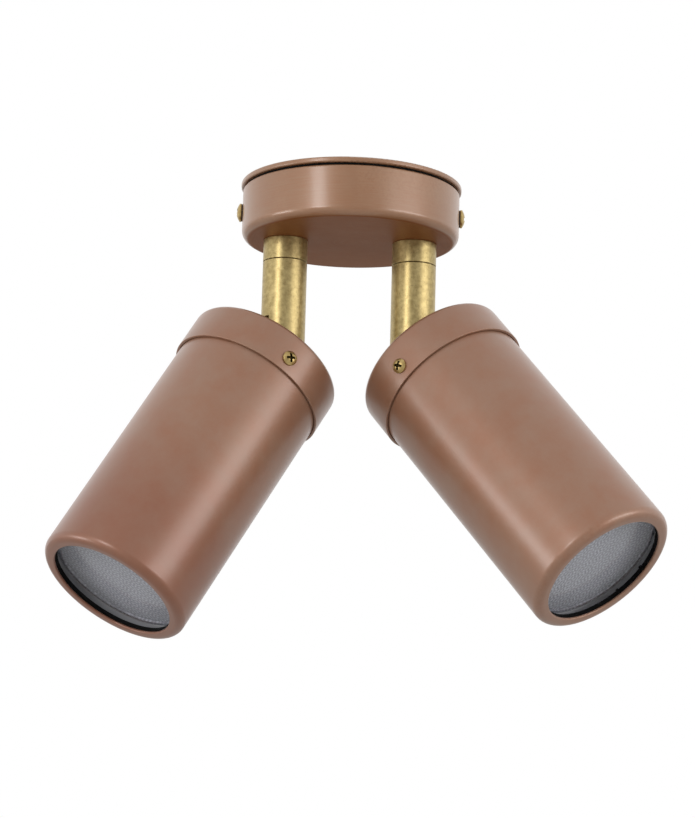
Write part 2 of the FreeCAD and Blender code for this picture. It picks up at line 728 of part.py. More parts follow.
def cap(side):
    """Drawn cap over the can's back, with a hole for the knuckle and two screw holes."""
    r, e = cap_radius, cap_corner_radius
    inner, inner_e = cap_inner_radius, cap_inner_corner_radius
    top, floor, lip = -cap_back, -cap_floor, -cap_back - cap_length
    shell = turned(
        (0, top), (r - e, top), (corner(r, top, e, 1, 1), (r, top - e)),
        (r, lip), (inner, lip), (inner, floor - inner_e),
        (corner(inner, floor, inner_e, 1, 1), (inner - inner_e, floor)), (0, floor),
    )
    shell = shell.cut(rod(spigot_radius + thread_clearance, floor, top))
    for angle in cap_screw_angles(side):
        hole = Part.makeCylinder(cap_screw_diameter / 2 + hole_clearance, r,
                                 FreeCAD.Vector(0, 0, -cap_screw_place), X_AXIS)
        shell = shell.cut(on_x_line(hole, angle))
    return in_head_frame(shell, side)


def cap_screw_angles(side):
    """Angles of the cap's screws about the head's axis: the tilt axis plus the cap's turn."""
    first = 90.0 + sides[side]["cap_turn"]
    return [first + 360.0 / cap_screw_count * step for step in range(cap_screw_count)]


def cap_screws(side):
    """Pan head screws through the cap into the can."""
    screws = []
    for angle in cap_screw_angles(side):
        screw = pan_head_screw(cap_screw_diameter, cap_screw_head_diameter,
                               cap_screw_head_height, cap_screw_length)
        screw.translate(FreeCAD.Vector(cap_radius, 0, -cap_screw_place))
        screws.append(on_x_line(screw, angle))
    return in_head_frame(Part.makeCompound(screws), side)


def can(side):
    """Long tube of the head, its mouth rolled inwards to a narrow lip."""
    r, e = can_radius, rim_radius
    inner, inner_e = can_inner_radius, rim_inner_corner_radius
    lip = rim_lip_radius
    back, front = -can_back, -can_front
    lip_front, lip_back = front + rim_rake, -rim_inner_face
    lip_round = (lip_back - lip_front) / 2
    tube = turned(
        (inner, back), (r, back), (r, front + e), (corner(r, front, e, 1, -1), (r - e, front)),
        (lip + lip_round, lip_front), ((lip, lip_front + lip_round), (lip + lip_round, lip_back)),
        (inner - inner_e, lip_back),
        (corner(inner, lip_back, inner_e, 1, -1), (inner, lip_back + inner_e)),
    )
    for angle in cap_screw_angles(side):
        hole = Part.makeCylinder(cap_screw_diameter / 2 + thread_clearance, r,
                                 FreeCAD.Vector(0, 0, -cap_screw_place), X_AXIS)
        tube = tube.cut(on_x_line(hole, angle))
    return in_head_frame(tube, side)


def lens_gasket(side):
    """Rubber ring between the rim and the glass, with two small nibs at its bore."""
    inner = lens_gasket_inner_radius
    low, high = -rim_inner_face, -lens_front
    body = ring(lens_gasket_radius, inner, low, high)
    half_nib = math.degrees(lens_gasket_nib_width / inner) / 2
    for offset in (-lens_gasket_nib_half_spacing, lens_gasket_nib_half_spacing):
        middle = lens_gasket_nib_angle + offset
        nib = sector(inner + lens_gasket_nib_width, inner - lens_gasket_nib_length,
                     low, high, middle - half_nib, middle + half_nib)
        body = body.fuse(nib)
    return in_head_frame(body.removeSplitter(), side)


def lens(side):
    """Clear glass disc with chamfered edges."""
    r, c = lens_radius, lens_chamfer
    glass = turned(
        (0, -lens_front), (r - c, -lens_front), (r, -lens_front + c),
        (r, -lens_back - c), (r - c, -lens_back), (0, -lens_back),
    )
    return in_head_frame(glass, side)


def diffuser(side):
    """Textured diffuser disc whose raised rim bears on the glass."""
    disc = rod(lens_radius, -diffuser_front, -diffuser_back)
    rim = ring(lens_radius, lens_radius - diffuser_rim_width, -lens_back, -diffuser_front)
    return in_head_frame(disc.fuse(rim).removeSplitter(), side)


def retaining_ring(side):
    """Split spring ring in the can that holds the diffuser and the glass against the rim."""
    split = sector(can_inner_radius, can_inner_radius - retainer_width, -diffuser_back,
                   -retainer_back, retainer_half_gap, 360.0 - retainer_half_gap)
    return in_head_frame(split, side)


def lamp_pins(top, bottom):
    """The two contact pins of the lamp between two heights."""
    reach = lamp_pin_spacing / 2
    return [rod(lamp_pin_radius, bottom, top, 0, y) for y in (-reach, reach)]


def lamp(side):
    """Reflector lamp: round face, curved bowl, neck and two contact pins."""
    face, neck = lamp_face_diameter / 2, lamp_neck_diameter / 2
    face_top = -lamp_front + lamp_face_height
    bowl_top = face_top + lamp_bowl_height
    neck_top = -lamp_neck_back
    middle_radius, middle_height = (face + neck) / 2, (face_top + bowl_top) / 2
    waist = (middle_radius + lamp_bowl_bulge, middle_height + lamp_bowl_bulge)
    bulb = turned(
        (0, -lamp_front), (face, -lamp_front), (face, face_top), (waist, (neck, bowl_top)),
        (neck, neck_top), (0, neck_top),
    )
    bulb = bulb.fuse(lamp_pins(neck_top + lamp_pin_length, neck_top - lamp_pin_radius))
    return in_head_frame(bulb.removeSplitter(), side)


def lampholder(side):
    """Ceramic holder with sockets for the lamp's pins and ways for the two leads."""
    low, high = -lamp_neck_back, -holder_back
    body = rod(holder_radius, low, high)
    for offset in (-1, 1):
        socket_y = offset * lamp_pin_spacing / 2
        lead_x = offset * head_lead_reach
        socket_top = low + lamp_pin_length + sheet_clearance
        body = body.cut(rod(lamp_pin_radius + hole_clearance, low, socket_top, 0, socket_y))
        body = body.cut(rod(lead_hole_radius, high - holder_wire_depth, high, lead_x))
        peg_start = offset * (holder_radius - bracket_peg_length - sheet_clearance)
        peg_hole = Part.makeCylinder(
            bracket_peg_radius + thread_clearance, bracket_peg_length + sheet_clearance,
            FreeCAD.Vector(peg_start, 0, high - bracket_peg_setback), X_AXIS * offset)
        body = body.cut(peg_hole)
    return in_head_frame(body, side)


def lampholder_bracket(side):
    """Bent steel strap: a foot under the knuckle's nut and two legs that pinch the holder."""
    half_width = bracket_width / 2
    outer = holder_radius + bracket_sheet
    foot = block(-outer, outer, -half_width, half_width, -bracket_floor, -cap_floor)
    foot = foot.cut(rod(spigot_radius + thread_clearance, -bracket_floor, -cap_floor))
    peg_z = -holder_back - bracket_peg_setback
    legs = []
    for offset in (-1, 1):
        x_low, x_high = sorted((offset * holder_radius, offset * outer))
        legs.append(block(x_low, x_high, -half_width, half_width,
                          peg_z - bracket_leg_past_peg, -bracket_floor))
        peg_start = FreeCAD.Vector(offset * (holder_radius - bracket_peg_length), 0, peg_z)
        legs.append(Part.makeCylinder(bracket_peg_radius, bracket_peg_length + bracket_sheet / 2,
                                      peg_start, X_AXIS * offset))
    return in_head_frame(foot.fuse(legs).removeSplitter(), side)


def head_leads(side):
    """The two leads from the knuckle's tongue to the lampholder."""
    low = -holder_back - holder_wire_depth + sheet_clearance
    high = tongue_half_width - head_lead_inset
    leads = [rod(lead_radius, low, high, x) for x in (-head_lead_reach, head_lead_reach)]
    return in_head_frame(Part.makeCompound(leads), side)


fixture_pieces = [
    back_plate, plate_gasket, cable_grommet, canopy_lugs, canopy, canopy_screws,
    canopy_screw_seals, terminal_block, terminal_clamps, earth_terminal, canopy_leads,
]
side_pieces = [
    stem_collar, stem, swivel_tube, swivel_washer, swivel_nut, swivel_seal, stop_pin,
    pivot_screw, tilt_washers, stem_leads, knuckle, knuckle_seal, knuckle_nut, cap, cap_screws,
    can, lens_gasket, lens, diffuser, retaining_ring, lamp, lampholder, lampholder_bracket,
    head_leads,
]

os.makedirs("parts", exist_ok=True)
for make in fixture_pieces:
    make().exportStep("parts/%s.step" % make.__name__)
for side in sides:
    for make in side_pieces:
        make(side).exportStep("parts/%s_%s.step" % (side, make.__name__))
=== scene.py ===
import json
import logging
import math
from dataclasses import dataclass, field, replace
from enum import Enum
from typing import Any, Callable, Optional, Sequence

import bmesh
import bpy
import numpy as np
from mathutils import Matrix, Vector


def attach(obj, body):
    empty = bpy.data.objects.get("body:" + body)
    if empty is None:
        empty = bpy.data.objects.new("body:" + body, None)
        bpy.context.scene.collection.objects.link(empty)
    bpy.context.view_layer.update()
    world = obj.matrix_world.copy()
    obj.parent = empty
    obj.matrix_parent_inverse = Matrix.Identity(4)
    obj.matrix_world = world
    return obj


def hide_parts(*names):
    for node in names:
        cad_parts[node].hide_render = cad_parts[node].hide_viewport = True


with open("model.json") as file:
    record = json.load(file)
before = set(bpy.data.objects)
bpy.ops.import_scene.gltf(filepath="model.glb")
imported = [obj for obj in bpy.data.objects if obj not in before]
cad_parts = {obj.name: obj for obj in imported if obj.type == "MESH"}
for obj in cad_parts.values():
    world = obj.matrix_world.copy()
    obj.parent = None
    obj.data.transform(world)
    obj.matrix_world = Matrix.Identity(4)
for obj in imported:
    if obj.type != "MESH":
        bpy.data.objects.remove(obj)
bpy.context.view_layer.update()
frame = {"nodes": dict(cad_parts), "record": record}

LOG = logging.getLogger("spotlight")
MM = 0.001
FULL_TURN = 2.0 * math.pi
QUARTER_TURN = math.pi / 2
ARC_STEPS = 10               # divisions of each rounded corner of a profile
LONGEST_RUN = 6.0            # longest straight run along a profile, millimetres
NEW_WELD, CAD_WELD = 1e-7, 1e-6       # reach within which points merge, metres
OWN = "own_place"            # point attribute: a vertex's place in its piece's own frame, metres
RECESS_SHADE_ATTR = "recess_shade"                # point attribute: 1 where shade is painted into a recess
EDGE = "edge_bend"           # point attribute: how sharply the surface bends outwards there
SHARPEST = 1.2               # bend, radians per millimetre, that counts as a full edge
SLIVER = 1e-6                # added to a distance that may be 0, millimetres
PEBBLE_WAYS = (0.0, 60.0, 120.0)      # directions of the pebbled sheet's waves, degrees
PEBBLE_DRIFTS = (2.3, 3.1, 2.7)       # length of each wave's slow drift, in pebble pitches
PEBBLE_LEVELS = (-1.5, 3.0)           # lowest and highest sum of the three waves
LOOSE_ROUND, LOOSE_ALONG = 0.035, 0.04      # how little fine lines change along their length
SPECKS = 9                   # specks of a metal across one of its patches
RUBBED = (0.35, 0.6)         # speck levels between which a bare edge goes from dull to rubbed
SPOT_MM, SPOT_LEVELS, SPOT_SHADE = 1.1, (0.60, 0.72), 0.45    # small tarnish marks
WORN_SHARE, RECESS_SHADE_LEVEL = 1.6, 0.05    # worn edges and painted recess shade as shares of the light and dark colour
MOTTLED = (0.25, 0.75)       # patch levels between which a matt piece's colour changes
MATT_SKIN, MATT_PATCH = 0.2, 0.1      # how far skin and patches change a matt piece's roughness
MOUTH_SHADE_SPAN = (60.0, 125.0)    # stretch of a head over which its painted shade sets in, millimetres
UNDER_SHADE_FADE = 0.5           # height over which the painted shade under the canopy fades, millimetres
UNDER_SHADE_DEPTH = 0.85         # colour of the painted shade under the canopy, as a share of the dark copper
GLASS_RADIUS = 29.8          # radius of the lens and the diffuser, millimetres

Colour = tuple[float, float, float]
WHITE: Colour = (1.0, 1.0, 1.0)


def linear(red: int, green: int, blue: int) -> Colour:
    """Scene-linear colour of a colour written as display levels from 0 to 255.

    A level's share of 255 follows the usual display curve: a straight foot up to 0.04045, and
    above it a power of 2.4.

    Args:
        red: Red display level.
        green: Green display level.
        blue: Blue display level.

    Returns:
        The three scene-linear levels.
    """
    levels = np.array([red, green, blue], float) / 255.0
    low, high = levels / 12.92, ((levels + 0.055) / 1.055) ** 2.4
    return tuple(float(x) for x in np.where(levels <= 0.04045, low, high))


def scaled(colour: Colour, share: Any) -> Colour:
    """A colour with its levels times one number or three, none above 1."""
    return tuple(np.minimum(np.multiply(colour, share), 1.0).tolist())


# Places and profiles

@dataclass(frozen=True)
class Placement:
    """Where a piece made in its own frame stands in the row frame.

    Args:
        origin: The own frame's origin in the row frame, millimetres.
        azimuth: Turn about +Z in degrees, made last.
        tilt: Turn about -Y in degrees, made first.
    """

    origin: tuple[float, float, float] = (0.0, 0.0, 0.0)
    azimuth: float = 0.0
    tilt: float = 0.0

    def turn(self) -> np.ndarray:
        """Turn from the own frame to the row frame.

        Returns:
            The rotation matrix: first the tilt, then the azimuth.
        """
        about_z = Matrix.Rotation(math.radians(self.azimuth), 3, "Z")
        about_y = Matrix.Rotation(math.radians(-self.tilt), 3, "Y")
        return np.array(about_z @ about_y)

    def apply(self, points: np.ndarray) -> np.ndarray:
        """Own frame millimetres to row frame metres."""
        return (points @ self.turn().T + np.array(self.origin)) * MM

    def inverse(self, points: np.ndarray) -> np.ndarray:
        """Row frame metres to own frame millimetres."""
        return (points / MM - np.array(self.origin)) @ self.turn()


@dataclass(frozen=True)
class Corner:
    """One corner of a turned profile.

    Args:
        radius: Distance from the axis, millimetres.
        height: Place along the axis, millimetres.
        blend: Radius that rounds the corner, 0 for none.
    """

    radius: float
    height: float
    blend: float = 0.0


def rounded(corners: Sequence[Corner], closed: bool) -> np.ndarray:
    """Polyline through the corners with each blend drawn as an arc.

    An arc's centre lies on the corner's bisector at blend / sin(half the corner's angle), and its
    points turn about that centre from one tangent point to the other.

    Args:
        corners: The profile's corners in order.
        closed: Whether the last corner joins the first.

    Returns:
        Points (radius, height), one row each.
    """
    places = np.array([(c.radius, c.height) for c in corners])
    runs = []
    for index, corner in enumerate(corners):
        at_end = not closed and index in (0, len(corners) - 1)
        if corner.blend <= 0 or at_end:
            runs.append(places[index][None, :])
            continue
        here, before = places[index], places[index - 1]
        after = places[(index + 1) % len(corners)]
        back = (before - here) / np.linalg.norm(before - here)
        ahead = (after - here) / np.linalg.norm(after - here)
        half = math.acos(float(np.clip(back @ ahead, -1, 1))) / 2
        bisector = (back + ahead) / np.linalg.norm(back + ahead)
        centre = here + bisector * corner.blend / math.sin(half)
        start = here + back * corner.blend / math.tan(half) - centre
        finish = here + ahead * corner.blend / math.tan(half) - centre
        first = math.atan2(start[1], start[0])
        sweep = (math.atan2(finish[1], finish[0]) - first + math.pi) % FULL_TURN - math.pi
        angles = first + sweep * np.linspace(0, 1, ARC_STEPS + 1)
        runs.append(centre + np.stack([np.cos(angles), np.sin(angles)], 1) * corner.blend)
    return np.concatenate(runs)


def divided(profile: np.ndarray, closed: bool) -> np.ndarray:
    """The same polyline with no run longer than LONGEST_RUN, so that shading stays even.

    Args:
        profile: Points (radius, height).
        closed: Whether the last point joins the first.

    Returns:
        The finer polyline.
    """
    ends = np.roll(profile, -1, 0) if closed else profile[1:]
    starts = profile if closed else profile[:-1]
    parts = []
    for a, b in zip(starts, ends):
        count = max(1, math.ceil(np.linalg.norm(b - a) / LONGEST_RUN))
        parts.append(a + (b - a) * np.linspace(0, 1, count, endpoint=False)[:, None])
    if not closed:
        parts.append(profile[-1:])
    return np.concatenate(parts)


# Meshes

@dataclass
class Surface:
    """Points and faces of one piece in its own frame, before it is placed.

    Args:
        points: Vertices, millimetres.
        faces: Corner numbers of each face.
        recess_shade: Painted shade in recesses at each vertex from 0 to 1, or None for a piece
            without it.
    """

    points: np.ndarray
    faces: list[tuple[int, ...]]
    recess_shade: Optional[np.ndarray] = None

    def joined(self, other: "Surface") -> "Surface":
        """This surface and another one side by side in one piece.

        Args:
            other: The other surface, with painted recess shade if this one has it.

        Returns:
            Both, with the other's points after this one's.
        """
        shift = len(self.points)
        moved = [tuple(i + shift for i in face) for face in other.faces]
        recess_shade = None if self.recess_shade is None else np.concatenate([self.recess_shade, other.recess_shade])
        return Surface(np.concatenate([self.points, other.points]), self.faces + moved, recess_shade)

    def turned_about_z(self, degrees: float) -> "Surface":
        """This surface turned about its own Z axis."""
        turn = np.array(Matrix.Rotation(math.radians(degrees), 3, "Z"))
        return Surface(self.points @ turn.T, self.faces, self.recess_shade)


def turn_in(segments: int) -> np.ndarray:
    """Angles in radians that divide the full turn evenly."""
    return np.linspace(0, FULL_TURN, segments, endpoint=False)


def ringed(radius: np.ndarray, height: np.ndarray, closed: bool) -> Surface:
    """Surface through rings round the Z axis, with quads between neighbours.

    A point of radius r and height h at the angle a goes to (r cos a, r sin a, h). The points are
    numbered ring by ring.

    Args:
        radius: Radii, a row for each ring and a column for each angle.
        height: Heights in the same way.
        closed: Whether the last ring joins the first.

    Returns:
        The surface.
    """
    angles = turn_in(radius.shape[1])
    points = np.stack([radius * np.cos(angles), radius * np.sin(angles), height], -1)
    number = np.arange(radius.size).reshape(radius.shape)
    if closed:
        number = np.concatenate([number, number[:1]])
    number = np.concatenate([number, number[:, :1]], 1)
    quads = np.stack([number[:-1, :-1], number[:-1, 1:], number[1:, 1:], number[1:, :-1]], -1)
    return Surface(points.reshape(-1, 3), quads.reshape(-1, 4).tolist())


def revolved(corners: Sequence[Corner], closed: bool, segments: int) -> Surface:
    """Surface of revolution: each point of the profile goes round the Z axis as a ring.

    Args:
        corners: The profile. An open one starts and ends on the axis.
        closed: Whether the profile is a loop away from the axis.
        segments: Divisions of the full turn.

    Returns:
        The closed surface.
    """
    profile = divided(rounded(corners, closed), closed)
    level = np.zeros(segments)
    return ringed(profile[:, :1] + level, profile[:, 1:] + level, closed)


@dataclass(frozen=True)
class CrossRecess:
    """Cross shaped driver recess in a screw's head, all in shares of the head's radius.

    Args:
        arm: Length of an arm.
        half_width: Half width of an arm.
        depth: Depth at the centre, a share of the head's height.
        wall: Width over which a side of the recess falls.
        rise: Share of the depth lost at an arm's end.
    """

    arm: float = 0.60
    half_width: float = 0.15
    depth: float = 0.62
    wall: float = 0.05
    rise: float = 0.45

    def share(self, x: np.ndarray, y: np.ndarray) -> np.ndarray:
        """Depth at a place of the head: 1 on the cross's floor, 0 off it, smooth between.

        Each arm is a soft box in |x| and |y|, the cross is the larger of the two arms, and the
        floor rises towards the arms' ends as a driver's point leaves it.

        Args:
            x: Places across the head.
            y: Places across the head, square to the first.

        Returns:
            The depth at each place.
        """
        def soft(value: np.ndarray, edge: float) -> np.ndarray:
            """1 inside the edge and 0 outside, over the wall's width."""
            return np.clip((edge - np.abs(value)) / self.wall + 0.5, 0, 1)

        along_x = soft(x, self.arm) * soft(y, self.half_width)
        along_y = soft(y, self.arm) * soft(x, self.half_width)
        reach = np.hypot(x, y) / self.arm
        return np.maximum(along_x, along_y) * (1.0 - self.rise * np.clip(reach, 0, 1))


@dataclass(frozen=True)
class PanHead:
    """Pan head screw: domed head with a cross recess, and its shank.

    Args:
        diameter: Shank diameter, millimetres.
        head_diameter: Head diameter.
        head_height: Head height.
        length: Shank length under the head.
        crown: Share of the head's height that is domed.
        recess: The driver recess.
        turn: Turn of the recess about the screw's axis, degrees.
    """

    diameter: float
    head_diameter: float
    head_height: float
    length: float
    crown: float = 0.62
    recess: CrossRecess = field(default_factory=CrossRecess)
    turn: float = 20.0

    def surface(self) -> Surface:
        """Head and shank along +X, the head's seat at x = 0.

        The top is a polar grid (r, a). Its height is a dome, the full height less the crown times
        a power of r, less the recess. Side, seat and shank are more rings of the same grid.

        Returns:
            The screw, with painted shade in its recess.
        """
        rings, segments, chamfer, power = 44, 120, 0.35, 2.2
        radius, shank = self.head_diameter / 2, self.diameter / 2
        share, level = np.linspace(0, 1, rings)[:, None], np.zeros(segments)
        angles = turn_in(segments) - math.radians(self.turn)
        sunk = self.recess.share(share * np.cos(angles), share * np.sin(angles))
        dome = self.head_height * (1 - self.crown * share ** power)
        top = dome - self.head_height * self.recess.depth * sunk
        lower = np.array([(radius, chamfer / 2), (radius - chamfer / 2, 0.0), (shank, 0.0),
                          (shank, chamfer - self.length), (shank - chamfer, -self.length),
                          (0.0, -self.length)])
        screw = ringed(np.concatenate([share * radius + level, lower[:, :1] + level]),
                       np.concatenate([top, lower[:, 1:] + level]), False)
        # painted shade: the recess's floor is darkened almost to black
        recess_shade = np.concatenate([np.clip(2 * sunk, 0, 1), np.zeros((len(lower), segments))])
        return Surface(np.roll(screw.points, 1, 1), screw.faces, recess_shade.ravel())

    def pair_at(self, reach: float, height: float, degrees: float) -> Surface:
        """Two screws half a turn apart, set pointing outwards from the Z axis.

        Args:
            reach: Distance from the axis to the heads' seats.
            height: Height of the screws' axes.
            degrees: Angle of the first screw about Z.

        Returns:
            Both screws as one surface.
        """
        made = self.surface()
        made.points = made.points + np.array([reach, 0.0, height])
        return made.turned_about_z(degrees).joined(made.turned_about_z(degrees + 180))


def values_of(items: Any, name: str, width: int = 1, kind: type = float) -> np.ndarray:
    """One property of a mesh's vertices, edges, loops or faces.

    Args:
        items: The mesh's collection.
        name: The property.
        width: Numbers in each item's property.
        kind: Type of the numbers.

    Returns:
        An array with a row for each item.
    """
    values = np.zeros(len(items) * width, kind)
    items.foreach_get(name, values)
    return values.reshape(-1, width) if width > 1 else values


def store(mesh: bpy.types.Mesh, name: str, values: np.ndarray) -> None:
    """Keep a number or a vector for each vertex of a mesh as a point attribute.

    Args:
        mesh: The mesh.
        name: The attribute's name.
        values: One number, or one row of three, for each vertex.
    """
    kind, key = ("FLOAT", "value") if values.ndim == 1 else ("FLOAT_VECTOR", "vector")
    attribute = mesh.attributes.new(name, kind, "POINT")
    attribute.data.foreach_set(key, values.astype(np.float32).ravel())


def weld(mesh: bpy.types.Mesh, reach: float, face_outwards: bool) -> None:
    """Merge a mesh's points that coincide.

    Args:
        mesh: The mesh.
        reach: Distance within which points merge, metres.
        face_outwards: Whether the faces are also turned outwards.
    """
    work = bmesh.new()
    work.from_mesh(mesh)
    bmesh.ops.remove_doubles(work, verts=work.verts, dist=reach)
    if face_outwards:
        bmesh.ops.recalc_face_normals(work, faces=work.faces)
    work.to_mesh(mesh)
    work.free()


def linked(name: str, data: Any) -> bpy.types.Object:
    """A new object in the scene.

    Args:
        name: Its name.
        data: Its mesh, lamp or camera.

    Returns:
        The object.
    """
    made = bpy.data.objects.new(name, data)
    bpy.context.scene.collection.objects.link(made)
    return made


def finished_mesh(name: str, surface: Surface, place: Placement, sharp: float) -> bpy.types.Object:
    """Object whose mesh holds a surface in the row frame, closed and facing outwards.

    Args:
        name: The piece's name.
        surface: Points and faces in the own frame.
        place: Where the own frame stands.
        sharp: Angle in degrees above which an edge shades as sharp.

    Returns:
        The linked object.
    """
    mesh = bpy.data.meshes.new(name)
    mesh.from_pydata(place.apply(surface.points).tolist(), [], surface.faces)
    if surface.recess_shade is not None:
        store(mesh, RECESS_SHADE_ATTR, surface.recess_shade)
    weld(mesh, NEW_WELD, True)
    return shown(name, mesh, place, sharp)


def merged_copy(name: str, node: str, place: Placement, sharp: float) -> bpy.types.Object:
    """Copy of a CAD node with its loose triangles merged, so that its curved faces shade smoothly.

    Args:
        name: The piece's name.
        node: The CAD node.
        place: The node's own frame, for its pattern.
        sharp: Angle in degrees above which an edge shades as sharp.

    Returns:
        The linked object.
    """
    mesh = frame["nodes"][node].data.copy()
    mesh.name = name
    weld(mesh, CAD_WELD, False)
    return shown(name, mesh, place, sharp)


def shown(name: str, mesh: bpy.types.Mesh, place: Placement, sharp: float) -> bpy.types.Object:
    """Link a mesh as an object, shade it by angle and store each vertex's own place.

    Args:
        name: The object's name.
        mesh: The finished mesh, in the row frame.
        place: The own frame.
        sharp: Angle in degrees above which an edge shades as sharp.

    Returns:
        The linked object.
    """
    if "custom_normal" in mesh.attributes:
        mesh.attributes.remove(mesh.attributes["custom_normal"])
    mesh.shade_smooth()
    mesh.set_sharp_from_angle(angle=math.radians(sharp))
    store(mesh, OWN, place.inverse(values_of(mesh.vertices, "co", 3)) * MM)
    store(mesh, EDGE, outward_bend(mesh))
    return linked(name, mesh)


def outward_bend(mesh: bpy.types.Mesh) -> np.ndarray:
    """How sharply a mesh bends outwards at each vertex, from 0 to 1.

    For each edge between two faces the bend is the angle between their normals over the distance
    between their middles, counted only where the faces turn away from each other. A vertex takes
    the largest bend of its edges.

    Args:
        mesh: A merged mesh.

    Returns:
        One number for each vertex.
    """
    normals = values_of(mesh.polygons, "normal", 3)
    middles = values_of(mesh.polygons, "center", 3) / MM
    totals = values_of(mesh.polygons, "loop_total", kind=int)
    loop_edge = values_of(mesh.loops, "edge_index", kind=int)
    order = np.argsort(loop_edge, kind="stable")
    edge, face = loop_edge[order], np.repeat(np.arange(len(totals)), totals)[order]
    paired = np.flatnonzero(edge[:-1] == edge[1:])
    one, two = face[paired], face[paired + 1]
    across = middles[two] - middles[one]
    span = np.linalg.norm(across, axis=1) + SLIVER
    outwards = np.einsum("ij,ij->i", normals[two] - normals[one], across) > 0
    angle = np.arccos(np.clip(np.einsum("ij,ij->i", normals[one], normals[two]), -1, 1))
    ends = values_of(mesh.edges, "vertices", 2, int)
    bend = np.zeros(len(mesh.vertices))
    sharpness = np.clip(angle / span / SHARPEST, 0, 1) * outwards
    for column in (0, 1):
        np.maximum.at(bend, ends[edge[paired], column], sharpness)
    return bend


# Shader maths

class Number:
    """A number socket whose arithmetic adds Math nodes to its graph."""

    def __init__(self, graph: "Graph", socket: bpy.types.NodeSocket) -> None:
        """Wrap one output socket of a graph."""
        self.graph = graph
        self.socket = socket

    def _math(self, operation: str, *terms: Any) -> "Number":
        """One Math node on the given terms.

        Args:
            operation: The node's operation.
            *terms: Numbers or values, in the order of its sockets.

        Returns:
            The node's result.
        """
        node = self.graph.add("ShaderNodeMath", {"operation": operation}, dict(enumerate(terms)))
        return Number(self.graph, node.outputs[0])

    def __add__(self, other: Any) -> "Number":
        """Sum."""
        return self._math("ADD", self, other)

    def __sub__(self, other: Any) -> "Number":
        """Difference."""
        return self._math("SUBTRACT", self, other)

    def __rsub__(self, other: Any) -> "Number":
        """Difference the other way round."""
        return self._math("SUBTRACT", other, self)

    def __mul__(self, other: Any) -> "Number":
        """Product."""
        return self._math("MULTIPLY", self, other)

    __radd__ = __add__
    __rmul__ = __mul__

    def hypot(self, other: "Number") -> "Number":
        """Length of the two numbers taken as sides of a right angle."""
        return self._math("SQRT", self * self + other * other)

    def larger(self, other: Any) -> "Number":
        """The larger of the two."""
        return self._math("MAXIMUM", self, other)

    def cosine(self) -> "Number":
        """Cosine of the number in radians."""
        return self._math("COSINE", self)

    def between(self, low: float, high: float) -> "Number":
        """0 below one level, 1 above another, smooth between.

        Args:
            low: Where the result starts to rise.
            high: Where it reaches 1.

        Returns:
            A number from 0 to 1.
        """
        node = self.graph.add("ShaderNodeMapRange", {"interpolation_type": "SMOOTHSTEP"},
                              {"Value": self, "From Min": low, "From Max": high})
        return Number(self.graph, node.outputs[0])


